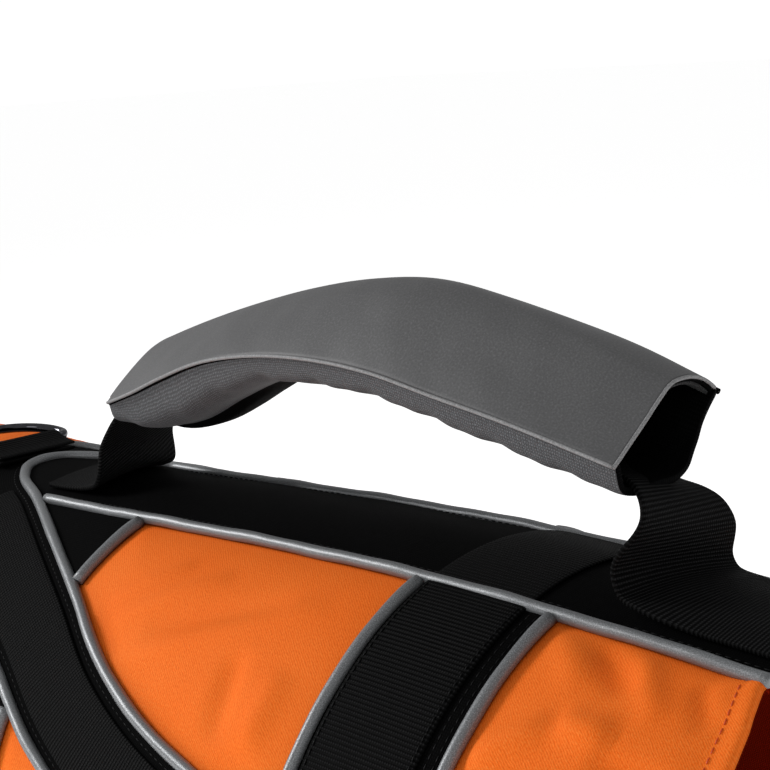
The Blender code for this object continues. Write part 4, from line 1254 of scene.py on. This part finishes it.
def stitch_rows(name, lines, finish, thick):
    """Rows of thread dashes along lines of points that lie on the cloth."""
    angles = np.linspace(0.0, 2.0 * math.pi, DASH_SIDES, endpoint=False)
    points, quads, caps, cut = [], [], [], []
    for line in lines:
        dots = evenly(line, PITCH)
        runs = dots[1:] - dots[:-1]
        runs /= np.linalg.norm(runs, axis=1)[:, None]
        for middle, run in zip(0.5 * (dots[1:] + dots[:-1]), runs):
            side = np.cross(run, (0.0, 0.0, 1.0))
            if np.linalg.norm(side) < 0.2:
                side = np.cross(run, (0.0, 1.0, 0.0))
            side /= np.linalg.norm(side)
            up = np.cross(side, run)
            start = len(points)
            for place, share in DASH:
                for angle in angles:
                    outward = math.cos(angle) * side + math.sin(angle) * up
                    points.append(middle + run * DASH_LONG * place + 0.5 * thick * share * outward)
                    cut.append((angle, place))
            for first in range(start, start + (len(DASH) - 1) * DASH_SIDES, DASH_SIDES):
                for step in range(DASH_SIDES):
                    one, two = first + step, first + (step + 1) % DASH_SIDES
                    quads.append((one, two, two + DASH_SIDES, one + DASH_SIDES))
            caps += [range(start, start + DASH_SIDES)[::-1],
                     range(len(points) - DASH_SIDES, len(points))]
    made = make_piece(name, points, quads, cut, finish, caps)
    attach(made, "garment")
    print(name, len(caps) // 2, "dashes")


# Threads lie half sunk: these are the heights of their middles above the body.
ON_CLOTH, ON_WEBBING, ON_SHELL = 2.15, 3.65, 0.75
SPINE_ROW, YOKE_ROWS, BELT_ROWS, WEBBING_ROW = 26.9, (4.2, 33.8), (4.4, 7.2), 1.6
BELT_TOP, ROW_POINTS, LONGEST_GAP = belt_start + 1.5, 90, 9.0
black_rows, orange_rows = [], []
for _, side in SIDES:
    black_rows.append(on_body(np.linspace(-146.0, 176.0, 160), side * SPINE_ROW, ON_CLOTH))
    for offset in YOKE_ROWS:
        line = yoke_line(offset)[3:-1]
        black_rows.append(on_body(line[:, 0], side * line[:, 1], ON_CLOTH))
    for front, rear in (REAR_BELT, FRONT_BELT):
        webbing = front + WEBBING_FROM
        for height, clear, places in (
                (ON_CLOTH, 4.0, [rear - inset for inset in BELT_ROWS]),
                (ON_WEBBING, 5.0, (webbing + WEBBING_ROW, webbing + WEBBING_WIDE - WEBBING_ROW))):
            for x in places:
                top = BELT_TOP if rear == REAR_BELT[1] else yoke_along(YOKE_WIDTH, x) + clear
                along = np.linspace(top, panel_low(x) - 3.0, ROW_POINTS)
                black_rows.append(on_body(x, side * along, height))
    # Hem stitching, a seam's width inside the border of the panel: tail, sides, neck.
    x, along = TAIL - HEM_SEAM, np.linspace(SPINE_HALF + 3.5, 92.0, 60)
    height = ON_SHELL + hem_lift(x, along, side)
    orange_rows.append(on_body(x - cut_back(x, along), side * along, height))
    border = evenly(PANEL_EDGE[1:-2], 3.0)
    aside = np.gradient(border, axis=0)
    aside /= np.linalg.norm(aside, axis=1)[:, None]
    border = border + HEM_SEAM * np.column_stack([aside[:, 1], -aside[:, 0]])
    border = border[~covered(border[:, 0], border[:, 1])]
    gaps = np.where(np.linalg.norm(np.diff(border, axis=0), axis=1) > LONGEST_GAP)[0] + 1
    for part in np.split(border, gaps):
        if len(part) > 4:
            orange_rows.append(on_body(part[:, 0], side * part[:, 1], ON_SHELL))
    orange_rows.append(on_body(NECK + HEM_SEAM, side * np.linspace(3.0, 138.0, 60), ON_SHELL))
stitch_rows("black_topstitching", black_rows, black_thread, 0.5)
stitch_rows("orange_hem_stitching", orange_rows, orange_thread, 0.6)

# %% [markdown]
# ## Floor and light
# A plain pale floor under the jacket, and three soft lights like big softboxes: a key from the
# neck end, which rakes across the folds, a fill from the tail and a rim from behind. The
# backdrop is plain white, and it lights the jacket less than it shows.

# %% Floor
WHITE = (1.0, 1.0, 1.0, 1.0)
floor_finish = new_material("pale_floor_paint", Roughness=0.9, Base_Color=linear("#F4F4F4"),
                            Emission_Color=WHITE, Emission_Strength=0.7)[0]
bpy.ops.mesh.primitive_plane_add(size=40.0, location=(0.0, 0.0, cad_box[0][2] - 0.0005))
floor = bpy.context.active_object
floor.name = "floor"
floor.data.materials.append(floor_finish)
floor.select_set(False)
print("floor at z", round(floor.location.z, 4))

# %% Lights
world = bpy.data.worlds.new("white_studio")
bpy.context.scene.world = world
world.use_nodes = True
tree = world.node_tree
background = tree.nodes["Background"]
background.inputs["Color"].default_value = WHITE
background.inputs["Strength"].default_value = 0.32
seen = add_node(tree, "ShaderNodeBackground", {"Color": WHITE, "Strength": 1.05})
path = add_node(tree, "ShaderNodeLightPath")
blend = add_node(tree, "ShaderNodeMixShader", {
    0: path.outputs["Is Camera Ray"], 1: background.outputs[0], 2: seen.outputs[0]})
tree.links.new(blend.outputs[0], tree.nodes["World Output"].inputs["Surface"])
LIT_POINT = Vector((0.05, 0.0, 0.0))


def softbox(name, place, size, power):
    """A square area light that faces the handle."""
    light = bpy.data.lights.new(name, "AREA")
    light.shape = "SQUARE"
    light.size = size
    light.energy = power
    lamp = bpy.data.objects.new(name, light)
    lamp.location = place
    lamp.rotation_euler = (LIT_POINT - Vector(place)).to_track_quat("-Z", "Y").to_euler()
    bpy.context.scene.collection.objects.link(lamp)


softbox("key_softbox", (-1.45, -0.85, 0.85), 0.6, 21.0)
softbox("fill_softbox", (0.9, -1.6, 1.0), 0.8, 4.5)
softbox("rim_softbox", (0.3, 1.2, 1.5), 0.8, 1.5)
bpy.context.scene.view_settings.view_transform = "Standard"
